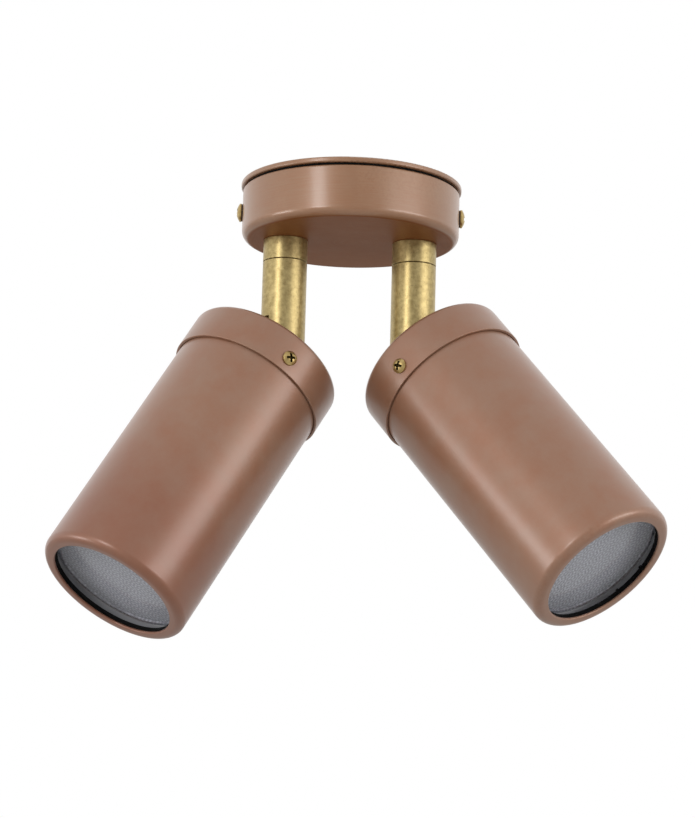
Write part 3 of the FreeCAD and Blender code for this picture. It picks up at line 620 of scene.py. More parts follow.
class Graph:
    """The node tree of one material or world."""

    def __init__(self, owner: Any) -> None:
        """Empty the owner's node tree, ready for new nodes.

        Args:
            owner: The material or world.
        """
        owner.use_nodes = True
        self.tree = owner.node_tree
        self.tree.nodes.clear()

    def feed(self, socket: bpy.types.NodeSocket, value: Any) -> None:
        """Link a socket to a number or another socket, or set its value.

        Args:
            socket: The input.
            value: A Number, a socket, a colour of three levels or a plain value.
        """
        if isinstance(value, Number):
            self.tree.links.new(value.socket, socket)
        elif isinstance(value, bpy.types.NodeSocket):
            self.tree.links.new(value, socket)
        elif isinstance(value, tuple) and socket.type == "RGBA":
            socket.default_value = (*value, 1.0)
        else:
            socket.default_value = value

    def add(self, kind: str, settings: Optional[dict[str, Any]] = None,
            inputs: Optional[dict[Any, Any]] = None) -> bpy.types.Node:
        """Any node: its settings first, then the values or links of its sockets.

        Args:
            kind: The node's type.
            settings: Properties of the node.
            inputs: Socket name or number to a value, a Number or a socket.

        Returns:
            The node.
        """
        node = self.tree.nodes.new(kind)
        for key, value in (settings or {}).items():
            setattr(node, key, value)
        for key, value in (inputs or {}).items():
            self.feed(node.inputs[key], value)
        return node

    def own_place(self) -> bpy.types.NodeSocket:
        """The piece's own place attribute, in metres."""
        return self.add("ShaderNodeAttribute", {"attribute_name": OWN}).outputs["Vector"]

    def attribute(self, name: str) -> Number:
        """A number stored at the piece's vertices, 0 where it isn't stored."""
        node = self.add("ShaderNodeAttribute", {"attribute_name": name})
        return Number(self, node.outputs["Fac"])

    def object_place(self) -> bpy.types.NodeSocket:
        """Object coordinates, for CAD nodes that stay as they are."""
        return self.add("ShaderNodeTexCoord").outputs["Object"]

    def parts_of(self, vector: bpy.types.NodeSocket) -> tuple[Number, Number, Number]:
        """The three parts of a vector."""
        node = self.add("ShaderNodeSeparateXYZ", inputs={0: vector})
        return tuple(Number(self, out) for out in node.outputs)

    def vector_of(self, x: Any, y: Any, z: Any) -> bpy.types.NodeSocket:
        """A vector of three numbers."""
        return self.add("ShaderNodeCombineXYZ", inputs={0: x, 1: y, 2: z}).outputs[0]

    def noise(self, place: bpy.types.NodeSocket, size_mm: float, detail: float = 3.0,
              roughness: float = 0.55) -> Number:
        """Noise from 0 to 1.

        Args:
            place: Coordinates, metres.
            size_mm: About the size of its patches.
            detail: Number of finer layers.
            roughness: Share of the finer layers.

        Returns:
            The noise.
        """
        node = self.add("ShaderNodeTexNoise", inputs={
            "Vector": place, "Scale": 1.0 / (size_mm * MM), "Detail": detail,
            "Roughness": roughness})
        return Number(self, node.outputs[0])

    def mixed(self, factor: Any, first: Any, second: Any) -> bpy.types.NodeSocket:
        """Colour between two colours."""
        node = self.add("ShaderNodeMix", {"data_type": "RGBA"}, {0: factor, 6: first, 7: second})
        return node.outputs[2]

    def bump(self, height: Number, strength: float, depth_mm: float) -> bpy.types.NodeSocket:
        """Normal of a surface that is raised by a height.

        Args:
            height: The height, from 0 to 1.
            strength: Share of the relief that shows.
            depth_mm: Height of the relief.

        Returns:
            The normal.
        """
        node = self.add("ShaderNodeBump", inputs={
            "Height": height, "Strength": strength, "Distance": depth_mm * MM})
        return node.outputs[0]

    def surface(self, inputs: dict[str, Any]) -> None:
        """Principled surface with these sockets, as the material's output."""
        shader = self.add("ShaderNodeBsdfPrincipled", inputs=inputs)
        self.add("ShaderNodeOutputMaterial", inputs={0: shader.outputs[0]})


class Frame(Enum):
    """Which coordinates a finish's pattern follows."""

    OWN = "own"
    OBJECT = "object"


class Grain(Enum):
    """Direction of a metal's fine lines."""

    ROUND = "round"
    ALONG = "along"
    NONE = "none"


@dataclass(frozen=True)
class Finish:
    """Base of every finish: builds its material once for each name.

    Args:
        name: The material's name.
        follows: Coordinates that the pattern follows.
    """

    name: str
    follows: Frame = Frame.OWN

    def place(self, graph: Graph) -> bpy.types.NodeSocket:
        """Coordinates of the pattern."""
        return graph.own_place() if self.follows is Frame.OWN else graph.object_place()

    def material(self) -> bpy.types.Material:
        """The finish's material, made when first asked for.

        Returns:
            The material.
        """
        found = bpy.data.materials.get(self.name)
        if found is None:
            found = bpy.data.materials.new(self.name)
            self.build(Graph(found))
        return found

    def build(self, graph: Graph) -> None:
        """Fill the material's node tree."""
        raise NotImplementedError

    def dress(self, piece: bpy.types.Object) -> None:
        """Give a piece this finish on all its faces."""
        piece.data.materials.clear()
        piece.data.materials.append(self.material())


@dataclass(frozen=True, kw_only=True)
class Metal(Finish):
    """Bare metal with patches, fine lines and small marks.

    Args:
        dark: Colour in the darker patches.
        light: Colour in the lighter patches.
        patch_mm: Size of the patches.
        roughness: Mean roughness.
        contrast: How far the patches reach between the two colours.
        grain: Direction of the fine lines.
        grain_mm: Spacing of the fine lines.
        grain_depth: Share of the fine lines in colour and roughness.
        spread: Roughness difference between patches.
        spots: Share of small dark tarnish marks.
        relief_mm: Height of the surface's relief.
        bare: Metallic share, less than 1 under a thin tarnish film.
        film: Weight of the clear film on the metal.
        film_ior: Refractive index of the film.
        film_roughness: Roughness of the film.
        wear: How far the edges are rubbed lighter.
        shaded_below: Own height, millimetres, under which the metal has no film and is darkened as
            painted shade.
        shades_recesses: Whether recesses get painted shade, darkened almost to black.
        glint: Tint of the metal's own gloss, apart from the film's.
        mouth_shade: Share of the colour left at a head's mouth, darkened there as painted shade.
    """

    dark: Colour
    light: Colour
    patch_mm: float
    roughness: float
    contrast: float = 0.35
    grain: Grain = Grain.NONE
    grain_mm: float = 0.35
    grain_depth: float = 0.25
    spread: float = 0.10
    spots: float = 0.0
    relief_mm: float = 0.02
    bare: float = 1.0
    film: float = 0.0
    film_ior: float = 1.5
    film_roughness: float = 0.4
    wear: float = 0.0
    shaded_below: Optional[float] = None
    shades_recesses: bool = False
    glint: Colour = WHITE
    mouth_shade: Colour = WHITE

    def lines(self, graph: Graph, place: bpy.types.NodeSocket) -> Number:
        """Fine lines: noise stretched round the axis or along it.

        Round lines read the distance from the axis less the height closely, and x and y loosely.
        Lines along the axis read x and y closely and the height loosely.

        Args:
            graph: The material's graph.
            place: Coordinates, metres.

        Returns:
            The lines, from 0 to 1.
        """
        x, y, z = graph.parts_of(place)
        if self.grain is Grain.ROUND:
            stretched = graph.vector_of(x * LOOSE_ROUND, y * LOOSE_ROUND, x.hypot(y) - z)
        elif self.grain is Grain.ALONG:
            stretched = graph.vector_of(x, y, z * LOOSE_ALONG)
        else:
            stretched = place
        return graph.noise(stretched, self.grain_mm, detail=4.0, roughness=0.6)

    def build(self, graph: Graph) -> None:
        """Patches and lines drive colour, roughness and relief.

        Args:
            graph: The material's graph.
        """
        place = self.place(graph)
        cloud = graph.noise(place, self.patch_mm, detail=5.0, roughness=0.6)
        speck = graph.noise(place, self.patch_mm / SPECKS, detail=3.0, roughness=0.6)
        lines = self.lines(graph, place)
        patches = cloud.between(0.5 - self.contrast, 0.5 + self.contrast)
        tone = patches * (1 - self.grain_depth) + lines * self.grain_depth
        colour = graph.mixed(tone, self.dark, self.light)
        if self.spots > 0:
            mottle = graph.noise(place, SPOT_MM, detail=2.0, roughness=0.5)
            marks = mottle.between(*SPOT_LEVELS) * self.spots
            colour = graph.mixed(marks, colour, scaled(self.dark, SPOT_SHADE))
        if self.wear > 0:
            rubbed = graph.attribute(EDGE) * speck.between(*RUBBED) * self.wear
            colour = graph.mixed(rubbed, colour, scaled(self.light, WORN_SHARE))
        # painted shade: recesses darkened to a twentieth of the dark colour
        if self.shades_recesses:
            colour = graph.mixed(graph.attribute(RECESS_SHADE_ATTR), colour, scaled(self.dark, RECESS_SHADE_LEVEL))
        # painted shade: the colour darkens towards the head's mouth
        if self.mouth_shade != WHITE:
            _, _, along = graph.parts_of(place)
            mouth_shade_mask = (0.0 - along).between(MOUTH_SHADE_SPAN[0] * MM, MOUTH_SHADE_SPAN[1] * MM)
            shaded_ends = [scaled(end, self.mouth_shade) for end in (self.dark, self.light)]
            colour = graph.mixed(mouth_shade_mask, colour, graph.mixed(tone, *shaded_ends))
        film: Any = self.film
        # painted shade: below the given height the colour darkens and the film is left off
        if self.shaded_below is not None:
            _, _, height = graph.parts_of(place)
            low = self.shaded_below * MM
            clean = height.between(low, low + UNDER_SHADE_FADE * MM)
            colour = graph.mixed(clean, scaled(self.dark, UNDER_SHADE_DEPTH), colour)
            film = clean * self.film
        rough = ((cloud - 0.5) * self.spread + (lines - 0.5) * (self.spread * self.grain_depth * 2)
                 + (speck - 0.5) * (self.spread * 0.5) + self.roughness)
        graph.surface({"Base Color": colour, "Metallic": self.bare, "Roughness": rough,
                       "Specular Tint": self.glint, "Coat Weight": film,
                       "Coat IOR": self.film_ior, "Coat Roughness": self.film_roughness,
                       "Normal": graph.bump(lines * 0.5 + speck * 0.5, strength=0.35,
                                            depth_mm=self.relief_mm)})


@dataclass(frozen=True, kw_only=True)
class Matt(Finish):
    """Matt or slightly glossy non-metal with faint mottling and a fine skin.

    Args:
        dark: Colour in the darker patches.
        light: Colour in the lighter patches.
        roughness: Mean roughness.
        patch_mm: Size of the patches.
        skin_mm: Size of the skin's grain.
        relief_mm: Height of the skin's grain.
        coat: Weight of a clear coat.
        specular: Specular level.
    """

    dark: Colour
    light: Colour
    roughness: float
    patch_mm: float = 4.0
    skin_mm: float = 0.4
    relief_mm: float = 0.02
    coat: float = 0.0
    specular: float = 0.5

    def build(self, graph: Graph) -> None:
        """Mottled colour, uneven roughness and a fine relief.

        Args:
            graph: The material's graph.
        """
        place = self.place(graph)
        cloud = graph.noise(place, self.patch_mm)
        skin = graph.noise(place, self.skin_mm, detail=2.0)
        graph.surface({
            "Base Color": graph.mixed(cloud.between(*MOTTLED), self.dark, self.light),
            "Roughness": self.roughness + (skin - 0.5) * MATT_SKIN + (cloud - 0.5) * MATT_PATCH,
            "Coat Weight": self.coat, "Specular IOR Level": self.specular,
            "Normal": graph.bump(skin, strength=0.4, depth_mm=self.relief_mm)})


@dataclass(frozen=True)
class Pebbles:
    """Uneven pebbles moulded in a sheet.

    The relief is the sum of three cosine waves whose directions stand 60 degrees apart, which
    makes round pebbles on a triangular lattice. Each wave's place is first pushed aside by a slow
    sine of the place across it, so the rows wander and the pebbles come out uneven.

    Args:
        pitch: Distance between neighbouring rows.
        wander: How far a row is pushed aside.
    """

    pitch: float = 1.7
    wander: float = 0.42

    def relief(self, x: Any, y: Any, unit: float, cosine: Callable[[Any], Any]) -> Any:
        """The sum of the waves, from -1.5 to 3.

        Args:
            x: Place along X.
            y: Place along Y.
            unit: Length of a millimetre in the places' unit.
            cosine: Cosine of the kind of number that the places are.

        Returns:
            Numbers of the places' kind.
        """
        wave, total = FULL_TURN / (self.pitch * unit), 0.0
        for way, drift in zip(PEBBLE_WAYS, PEBBLE_DRIFTS):
            c, s = math.cos(math.radians(way)), math.sin(math.radians(way))
            aside = cosine((y * c - x * s) * (wave / drift) - QUARTER_TURN) * (self.wander * unit)
            total = cosine((x * c + y * s + aside) * wave) + total
        return total


@dataclass(frozen=True, kw_only=True)
class Pebbled(Finish):
    """Grey translucent sheet moulded with pebbles.

    Args:
        dark: Colour in the hollows, darkened there as painted shade.
        light: Colour on the pebbles, lightened there as painted highlight.
        pebbles: The moulded pattern, which the painted shade and highlight follow.
        moulded: Share of that painted shade and highlight in the colour. The rest is slow clouds.
        cloud_mm: Size of the clouds.
        skin_mm: Size of the skin's grain.
        roughness: Mean roughness.
        specular: Specular level.
    """

    dark: Colour
    light: Colour
    pebbles: Pebbles = Pebbles()
    moulded: float = 0.7
    cloud_mm: float = 9.0
    skin_mm: float = 0.35
    roughness: float = 0.5
    specular: float = 0.2

    def build(self, graph: Graph) -> None:
        """Colour by painted shade in the hollows, painted highlight on the pebbles and slow clouds,
        and a fine skin.

        Args:
            graph: The material's graph.
        """
        place = self.place(graph)
        x, y, _ = graph.parts_of(place)
        cloud = graph.noise(place, self.cloud_mm)
        skin = graph.noise(place, self.skin_mm, detail=2.0)
        # painted shade in the hollows and painted highlight on the pebbles
        relief = self.pebbles.relief(x, y, MM, Number.cosine).between(*PEBBLE_LEVELS)
        tone = relief * self.moulded + cloud * (1 - self.moulded)
        graph.surface({"Base Color": graph.mixed(tone, self.dark, self.light),
                       "Specular IOR Level": self.specular,
                       "Roughness": self.roughness + (cloud - 0.5) * MATT_PATCH,
                       "Normal": graph.bump(skin, strength=0.3, depth_mm=0.02)})


@dataclass(frozen=True)
class Glass(Finish):
    """Clear glass disc with faint haze and a ground edge.

    Args:
        gloss: Share of the light that the faces mirror.
        ground: Colour of the ground edge.
        cover: How opaque the ground edge is.
        polish: Roughness of the clean faces.
        haze: Roughness that the haze adds at most.
        haze_mm: Size of the haze's patches.
        ground_roughness: Roughness that the grinding adds.
        edge_mm: Radius of the disc's edge.
        fade_mm: How far in from the edge the grinding starts and is complete.
    """

    gloss: float = 0.07
    ground: Colour = (0.34, 0.34, 0.355)
    cover: float = 0.95
    polish: float = 0.03
    haze: float = 0.05
    haze_mm: float = 9.0
    ground_roughness: float = 0.5
    edge_mm: float = GLASS_RADIUS
    fade_mm: tuple[float, float] = (0.35, 0.1)

    def build(self, graph: Graph) -> None:
        """Faces that let light through and mirror a little, and a matt ground edge.

        Args:
            graph: The material's graph.
        """
        place = self.place(graph)
        x, y, _ = graph.parts_of(place)
        ground = x.hypot(y).between(*((self.edge_mm - inset) * MM for inset in self.fade_mm))
        haze = graph.noise(place, self.haze_mm).between(0.3, 0.9) * self.haze
        graph.surface({"Base Color": graph.mixed(ground, WHITE, self.ground),
                       "Metallic": 1 - ground,
                       "Roughness": haze + ground * self.ground_roughness + self.polish,
                       "Alpha": ground * (self.cover - self.gloss) + self.gloss})


BRASS_DARK, BRASS_LIGHT = linear(148, 128, 82), linear(204, 184, 130)
# the canopy's underside gets painted shade
CANOPY_COPPER = Metal("brushed_copper", dark=linear(137, 80, 38), light=linear(148, 118, 92),
                      patch_mm=11.0, contrast=0.65, grain=Grain.ROUND, grain_mm=0.4,
                      grain_depth=0.7, roughness=0.48, bare=0.25, film=1.0, film_ior=1.65,
                      film_roughness=0.28, wear=0.15, shaded_below=-23.85,
                      glint=(0.85, 0.62, 0.45))
HEAD_COPPER = Metal("satin_copper_heads", dark=linear(142, 86, 52), light=linear(147, 117, 97),
                    patch_mm=11.0, contrast=0.65, grain_mm=0.9, grain_depth=0.15,
                    roughness=0.50, spread=0.08, relief_mm=0.008, bare=0.4, film=0.9,
                    film_roughness=0.29, wear=0.3)
# the left head, darker towards its mouth as painted shade
MOUTH_SHADED_COPPER = replace(HEAD_COPPER, name="copper_head_shaded_at_mouth",
                           mouth_shade=(0.84, 0.67, 0.60))
STEM_BRASS = Metal("raw_brass_turned", dark=BRASS_DARK, light=BRASS_LIGHT, patch_mm=1.8,
                   contrast=0.34, grain=Grain.ALONG, grain_depth=0.15,
                   roughness=0.37, spread=0.14, spots=0.4, bare=0.9)
# the screws' recesses get painted shade
SCREW_BRASS = Metal("bright_brass_screws", dark=linear(158, 130, 78), light=linear(208, 184, 126),
                    patch_mm=1.6, contrast=0.25, grain_mm=0.3, roughness=0.34, spread=0.16,
                    spots=0.2, wear=0.3, shades_recesses=True)
INNER_STEEL = Metal("plain_steel_inside", Frame.OBJECT, dark=linear(150, 150, 150),
                    light=linear(205, 205, 205), patch_mm=6.0, roughness=0.32)
BLACK_STEEL = Metal("blackened_spring_steel", Frame.OBJECT, dark=linear(38, 38, 40),
                    light=linear(66, 66, 70), patch_mm=4.0, roughness=0.45)
INNER_BRASS = Metal("plain_brass_inside", Frame.OBJECT, dark=BRASS_DARK, light=BRASS_LIGHT,
                    patch_mm=5.0, roughness=0.38)
BLACK_RUBBER = Matt("matt_black_rubber", dark=linear(4, 4, 4), light=linear(14, 13, 12),
                    roughness=0.9, specular=0.15)
INNER_RUBBER = Matt("black_rubber_inside", Frame.OBJECT, dark=linear(18, 18, 19),
                    light=linear(42, 42, 44), roughness=0.72)
NYLON = Matt("natural_nylon", Frame.OBJECT, dark=linear(222, 219, 208),
             light=linear(240, 238, 230), roughness=0.45)
SLEEVE = Matt("sleeved_lead", Frame.OBJECT, dark=linear(214, 208, 196),
              light=linear(238, 234, 226), skin_mm=0.3, roughness=0.7, relief_mm=0.05)
CERAMIC = Matt("unglazed_ceramic", Frame.OBJECT, dark=linear(226, 220, 206),
               light=linear(240, 236, 226), roughness=0.55)
LAMP_SHELL = Matt("white_lamp_shell", Frame.OBJECT, dark=linear(222, 222, 222),
                  light=linear(240, 240, 240), roughness=0.25, coat=0.5)
# darker in the hollows and lighter on the pebbles, as painted shade and highlight
PEBBLED_GREY = Pebbled("pebbled_diffuser", dark=linear(124, 125, 133),
                       light=linear(186, 187, 197))
LENS_GLASS = Glass("clear_lens_glass")


# Sub-assemblies

@dataclass
class Assembly:
    """What every sub-assembly shares: where it stands, its body and how pieces are added.

    Args:
        body: The body that its pieces ride on.
        place: Where its own frame stands.
        sharp: Angle in degrees above which an edge shades as sharp.
    """

    body: str = "base"
    place: Placement = field(default_factory=Placement)
    sharp: float = 32.0

    def add(self, name: str, surface: Surface, finish: Finish, slot: str,
            *replaced: str) -> bpy.types.Object:
        """Make a piece from a surface, dress it and let it ride and stand for CAD nodes.

        Args:
            name: The piece's name.
            surface: Its surface in this sub-assembly's frame.
            finish: Its finish.
            slot: The record's material slot.
            *replaced: CAD nodes that it stands for.

        Returns:
            The piece.
        """
        return self.settle(finished_mesh(name, surface, self.place, self.sharp), finish, slot,
                           *replaced)

    def refine(self, name: str, node: str, finish: Finish, slot: str) -> bpy.types.Object:
        """Stand for a CAD node with a smoothly shaded copy of it.

        Args:
            name: The piece's name.
            node: The CAD node.
            finish: Its finish.
            slot: The record's material slot.

        Returns:
            The piece.
        """
        made = merged_copy(name, node, self.place, self.sharp)
        weighted = made.modifiers.new("even_shading", "WEIGHTED_NORMAL")
        weighted.keep_sharp = True
        return self.settle(made, finish, slot, node)

    def settle(self, piece: bpy.types.Object, finish: Finish, slot: str,
               *replaced: str) -> bpy.types.Object:
        """Dress a piece, report it and tie it to its body and CAD nodes.

        Args:
            piece: The piece.
            finish: Its finish.
            slot: The record's material slot; not used.
            *replaced: CAD nodes that it stands for.

        Returns:
            The same piece.
        """
        finish.dress(piece)
        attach(piece, self.body)
        if replaced:
            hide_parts(*replaced)
        LOG.info("%s: %d faces on %s", piece.name, len(piece.data.polygons), self.body)
        return piece


@dataclass
class Canopy(Assembly):
    """Back plate, drawn cup, the gasket between them and the side screws. Millimetres.

    Args:
        radius: Radius of the cup.
        top: Height of the cup's brim, where the gasket lies.
        edge: Rounding of the gasket's edges.
        gasket_radius: Outer radius of the gasket.
        gasket_inner: Its inner radius.
        plate_inner: Height of the back plate's inner face.
        screw_depth: Depth of the side screws' axes under the wall.
        screw_angle: Angle of the first side screw about Z, degrees.
        seal: Thickness of the washers under the side screws.
        screw: The side screw.
    """

    radius: float = 45.0
    top: float = -3.1
    edge: float = 0.2
    gasket_radius: float = 44.2
    gasket_inner: float = 41.2
    plate_inner: float = -2.2
    screw_depth: float = 12.4
    screw_angle: float = -0.5
    seal: float = 0.4
    screw: PanHead = field(default_factory=lambda: PanHead(
        diameter=4.0, head_diameter=7.6, head_height=2.0, length=9.0))

    def gasket(self) -> Surface:
        """Flat ring with softened edges.

        Returns:
            The gasket.
        """
        high, low = self.plate_inner, self.top
        return revolved([
            Corner(self.gasket_inner, low, self.edge), Corner(self.gasket_radius, low, self.edge),
            Corner(self.gasket_radius, high, self.edge), Corner(self.gasket_inner, high, self.edge),
        ], closed=True, segments=256)

    def screws(self) -> Surface:
        """The two side screws, on their seals."""
        return self.screw.pair_at(self.radius + self.seal, -self.screw_depth, self.screw_angle)

    def build(self) -> None:
        """Make and dress every piece of the canopy."""
        self.refine("plate_disc", "back_plate", CANOPY_COPPER, "satin_copper")
        self.refine("canopy_cup", "canopy", CANOPY_COPPER, "satin_copper")
        self.add("plate_gasket_ring", self.gasket(), BLACK_RUBBER, "black_rubber", "plate_gasket")
        self.add("canopy_side_screws", self.screws(), SCREW_BRASS, "bright_brass",
                 "canopy_screws")


@dataclass
class Side:
    """One side of the light: where its stem stands and how its head is aimed.

    Args:
        name: left or right.
        stem_x: The stem's place along X, millimetres.
        azimuth: Where the head points, seen from above, degrees.
        tilt: The head's tilt from straight down, degrees.
        cap_turn: Turn of the cap's screws about the head's axis, degrees.
        copper: Finish of the head's cap and can.
        pivot: Height of the tilt axis, millimetres.
    """

    name: str
    stem_x: float
    azimuth: float
    tilt: float
    cap_turn: float
    copper: Metal = HEAD_COPPER
    pivot: float = -64.2

    def upright(self) -> Placement:
        """The stem's own frame."""
        return Placement((self.stem_x, 0.0, 0.0), self.azimuth)

    def aimed(self) -> Placement:
        """The head's own frame: its pivot at the origin and its mouth towards -Z."""
        return Placement((self.stem_x, 0.0, self.pivot), self.azimuth, self.tilt)


@dataclass
class Stem(Assembly):
    """Collar under the canopy, the turned stem and the knuckle in its fork.

    Args:
        side: The side of the light.
    """

    side: Side = field(kw_only=True)

    def build(self) -> None:
        """Refine the turned brass pieces of one side."""
        label = self.side.name
        self.body, self.place = "base", self.side.upright()
        self.refine(label + "_collar_ring", label + "_stem_collar", STEM_BRASS, "raw_brass")
        self.body = label + "_swivel"
        self.refine(label + "_turned_stem", label + "_stem", STEM_BRASS, "raw_brass")
        self.body, self.place = label + "_head", self.side.aimed()
        self.refine(label + "_knuckle_tongue", label + "_knuckle", STEM_BRASS, "raw_brass")


@dataclass
class Head(Assembly):
    """Cap, can and the optics of one head, in its own frame.

    Sizes are in millimetres. The axis is Z, and depths are counted from the pivot towards the
    mouth.

    Args:
        side: The side of the light.
        spigot_hole: Radius of the hole in the cap.
        cap_back: Depth of the cap's back.
        cap_length: Length of the cap.
        cap_radius: Radius of the cap.
        cap_wall: Wall of the cap.
        cap_corner: Rounding of the cap's back edge.
        cap_screw_place: Depth of the cap's screws.
        edge: Rounding of the sheets' cut edges.
        can_radius: Radius of the can.
        can_wall: Wall of the can.
        can_back: Depth of the can's back end.
        can_front: Depth of the mouth.
        rim: Outer rounding of the mouth.
        rim_reach: How far the mouth's lip stands in from the can's outside.
        rim_rake: How far the lip is set back from the mouth.
        glass_radius: Radius of the lens and the diffuser.
        glass_front: Depth of the lens's front face.
        glass: Thickness of the lens.
        glass_edge: Chamfer of the lens.
        diffuser_rim: Height of the diffuser's raised rim.
        diffuser_rim_width: Width of that rim.
        diffuser_thickness: Thickness of the diffuser.
        pebbles: The pattern moulded in the diffuser.
        pebble_height: Height of the pebbles.
        screw: The cap's screw.
    """

    side: Side = field(kw_only=True)
    spigot_hole: float = 6.03
    cap_back: float = 14.0
    cap_length: float = 17.3
    cap_radius: float = 32.7
    cap_wall: float = 1.0
    cap_corner: float = 2.4
    cap_screw_place: float = 25.3
    edge: float = 0.18
    can_radius: float = 31.5
    can_wall: float = 1.2
    can_back: float = 16.4
    can_front: float = 137.9
    rim: float = 3.4
    rim_reach: float = 5.55
    rim_rake: float = 0.2
    glass_radius: float = GLASS_RADIUS
    glass_front: float = 134.7
    glass: float = 4.0
    glass_edge: float = 0.3
    diffuser_rim: float = 0.8
    diffuser_rim_width: float = 1.5
    diffuser_thickness: float = 2.0
    pebbles: Pebbles = Pebbles()
    pebble_height: float = 0.12
    screw: PanHead = field(default_factory=lambda: PanHead(
        diameter=3.0, head_diameter=6.0, head_height=1.8, length=6.0, turn=35.0))

    def cap(self) -> Surface:
        """Cap turned about the head's axis, with a rounded back edge and a softened lip.

        Returns:
            The cap.
        """
        back, floor = -self.cap_back, -self.cap_back - self.cap_wall
        lip, inner = -self.cap_back - self.cap_length, self.cap_radius - self.cap_wall
        return revolved([
            Corner(self.spigot_hole, back), Corner(self.cap_radius, back, self.cap_corner),
            Corner(self.cap_radius, lip, self.edge), Corner(inner, lip, self.edge),
            Corner(inner, floor, self.cap_corner - self.cap_wall),
            Corner(self.spigot_hole, floor),
        ], closed=True, segments=224)

    def can(self) -> Surface:
        """Long tube whose mouth is rolled inwards to a narrow round lip.

        Returns:
            The can.
        """
        inner, lip = self.can_radius - self.can_wall, self.can_radius - self.rim_reach
        outside, inside = -self.can_front, -self.can_front + self.rim_rake + self.can_wall
        round_lip = 0.48 * self.can_wall    # a little under half, so that both arcs fit
        return revolved([
            Corner(inner, -self.can_back, self.edge),
            Corner(self.can_radius, -self.can_back, self.edge),
            Corner(self.can_radius, outside, self.rim),
            Corner(lip, outside + self.rim_rake, round_lip), Corner(lip, inside, round_lip),
            Corner(inner, inside, self.rim - self.can_wall),
        ], closed=True, segments=224)

    def lens(self) -> Surface:
        """Glass disc with chamfered edges.

        Returns:
            The lens.
        """
        front, back = -self.glass_front, -self.glass_front + self.glass
        r, c = self.glass_radius, self.glass_edge
        return revolved([
            Corner(0, front), Corner(r - c, front), Corner(r, front + c), Corner(r, back - c),
            Corner(r - c, back), Corner(0, back),
        ], closed=False, segments=192)

    def diffuser(self) -> Surface:
        """Disc with a raised rim and a pebbled face.

        The face is a polar grid (r, a). Its relief fades out next to the rim. The rim's rings and
        the flat back follow.

        Returns:
            The diffuser.
        """
        segments, step = 600, 0.29
        face = self.glass_front - self.glass - self.diffuser_rim
        outer, inner = self.glass_radius, self.glass_radius - self.diffuser_rim_width
        r, level = np.linspace(0, inner, int(inner / step))[:, None], np.zeros(segments)
        x, y = r * np.cos(turn_in(segments)), r * np.sin(turn_in(segments))
        relief = self.pebbles.relief(x, y, 1.0, np.cos) / len(PEBBLE_WAYS)
        fade = np.clip((inner - r) / self.pebbles.pitch, 0, 1)
        front, back = -face - self.diffuser_rim, -face + self.diffuser_thickness
        edge = np.array([(inner, front), (outer, front), (outer, back), (0.0, back)])
        return ringed(np.concatenate([r + level, edge[:, :1] + level]),
                      np.concatenate([-face - self.pebble_height * relief * fade,
                                      edge[:, 1:] + level]), False)

    def screws(self) -> Surface:
        """The cap's two screws, square to the tilt's plane but for the cap's turn."""
        return self.screw.pair_at(self.cap_radius, -self.cap_screw_place, 90 + self.side.cap_turn)

    def build(self) -> None:
        """Make and dress every visible piece of one head."""
        label = self.side.name
        self.body, self.place = label + "_head", self.side.aimed()
        self.add(label + "_cap_cup", self.cap(), self.side.copper, "satin_copper", label + "_cap")
        self.add(label + "_can_tube", self.can(), self.side.copper, "satin_copper",
                 label + "_can")
        self.add(label + "_cap_side_screws", self.screws(), SCREW_BRASS, "bright_brass",
                 label + "_cap_screws")
        self.add(label + "_glass_disc", self.lens(), LENS_GLASS, "clear_glass", label + "_lens")
        self.add(label + "_pebbled_disc", self.diffuser(), PEBBLED_GREY, "frosted_diffuser",
                 label + "_diffuser")
        self.refine(label + "_mouth_gasket", label + "_lens_gasket", BLACK_RUBBER,
                    "black_rubber")


@dataclass(frozen=True)
class HiddenParts:
    """The CAD nodes that keep their own shape and get a finish by the record's slot.

    Args:
        finishes: Slot to finish.
    """

    finishes: dict[str, Finish] = field(default_factory=lambda: {
        "bright_brass": INNER_BRASS, "raw_brass": INNER_BRASS, "steel": INNER_STEEL,
        "black_spring_steel": BLACK_STEEL, "black_rubber": INNER_RUBBER, "nylon": NYLON,
        "lead_sleeve": SLEEVE, "lamp_shell": LAMP_SHELL, "holder_ceramic": CERAMIC})

    def build(self) -> None:
        """Dress every CAD node that is still shown."""
        slots = {row["node"]: row["material_slot"] for row in frame["record"]["subparts"]}
        for name, node in sorted(frame["nodes"].items()):
            if node.hide_render:
                continue
            self.finishes[slots[name]].dress(node)
            LOG.info("%s: CAD node with finish %s", name, self.finishes[slots[name]].name)


# Studio

@dataclass(frozen=True)
class Softbox:
    """One large soft lamp.

    Args:
        name: Its name.
        place: Its place, metres.
        aim: The point that it faces, metres.
        size: Width and height, metres.
        power: Watts.
    """

    name: str
    place: tuple[float, float, float]
    aim: tuple[float, float, float]
    size: tuple[float, float]
    power: float

    def build(self) -> None:
        """Add the lamp."""
        data = bpy.data.lights.new(self.name, "AREA")
        data.shape, data.size, data.size_y = "RECTANGLE", *self.size
        data.energy = self.power
        to_aim = Vector(self.aim) - Vector(self.place)
        turn = to_aim.to_track_quat("-Z", "Y").to_matrix().to_4x4()
        linked(self.name, data).matrix_world = Matrix.Translation(self.place) @ turn


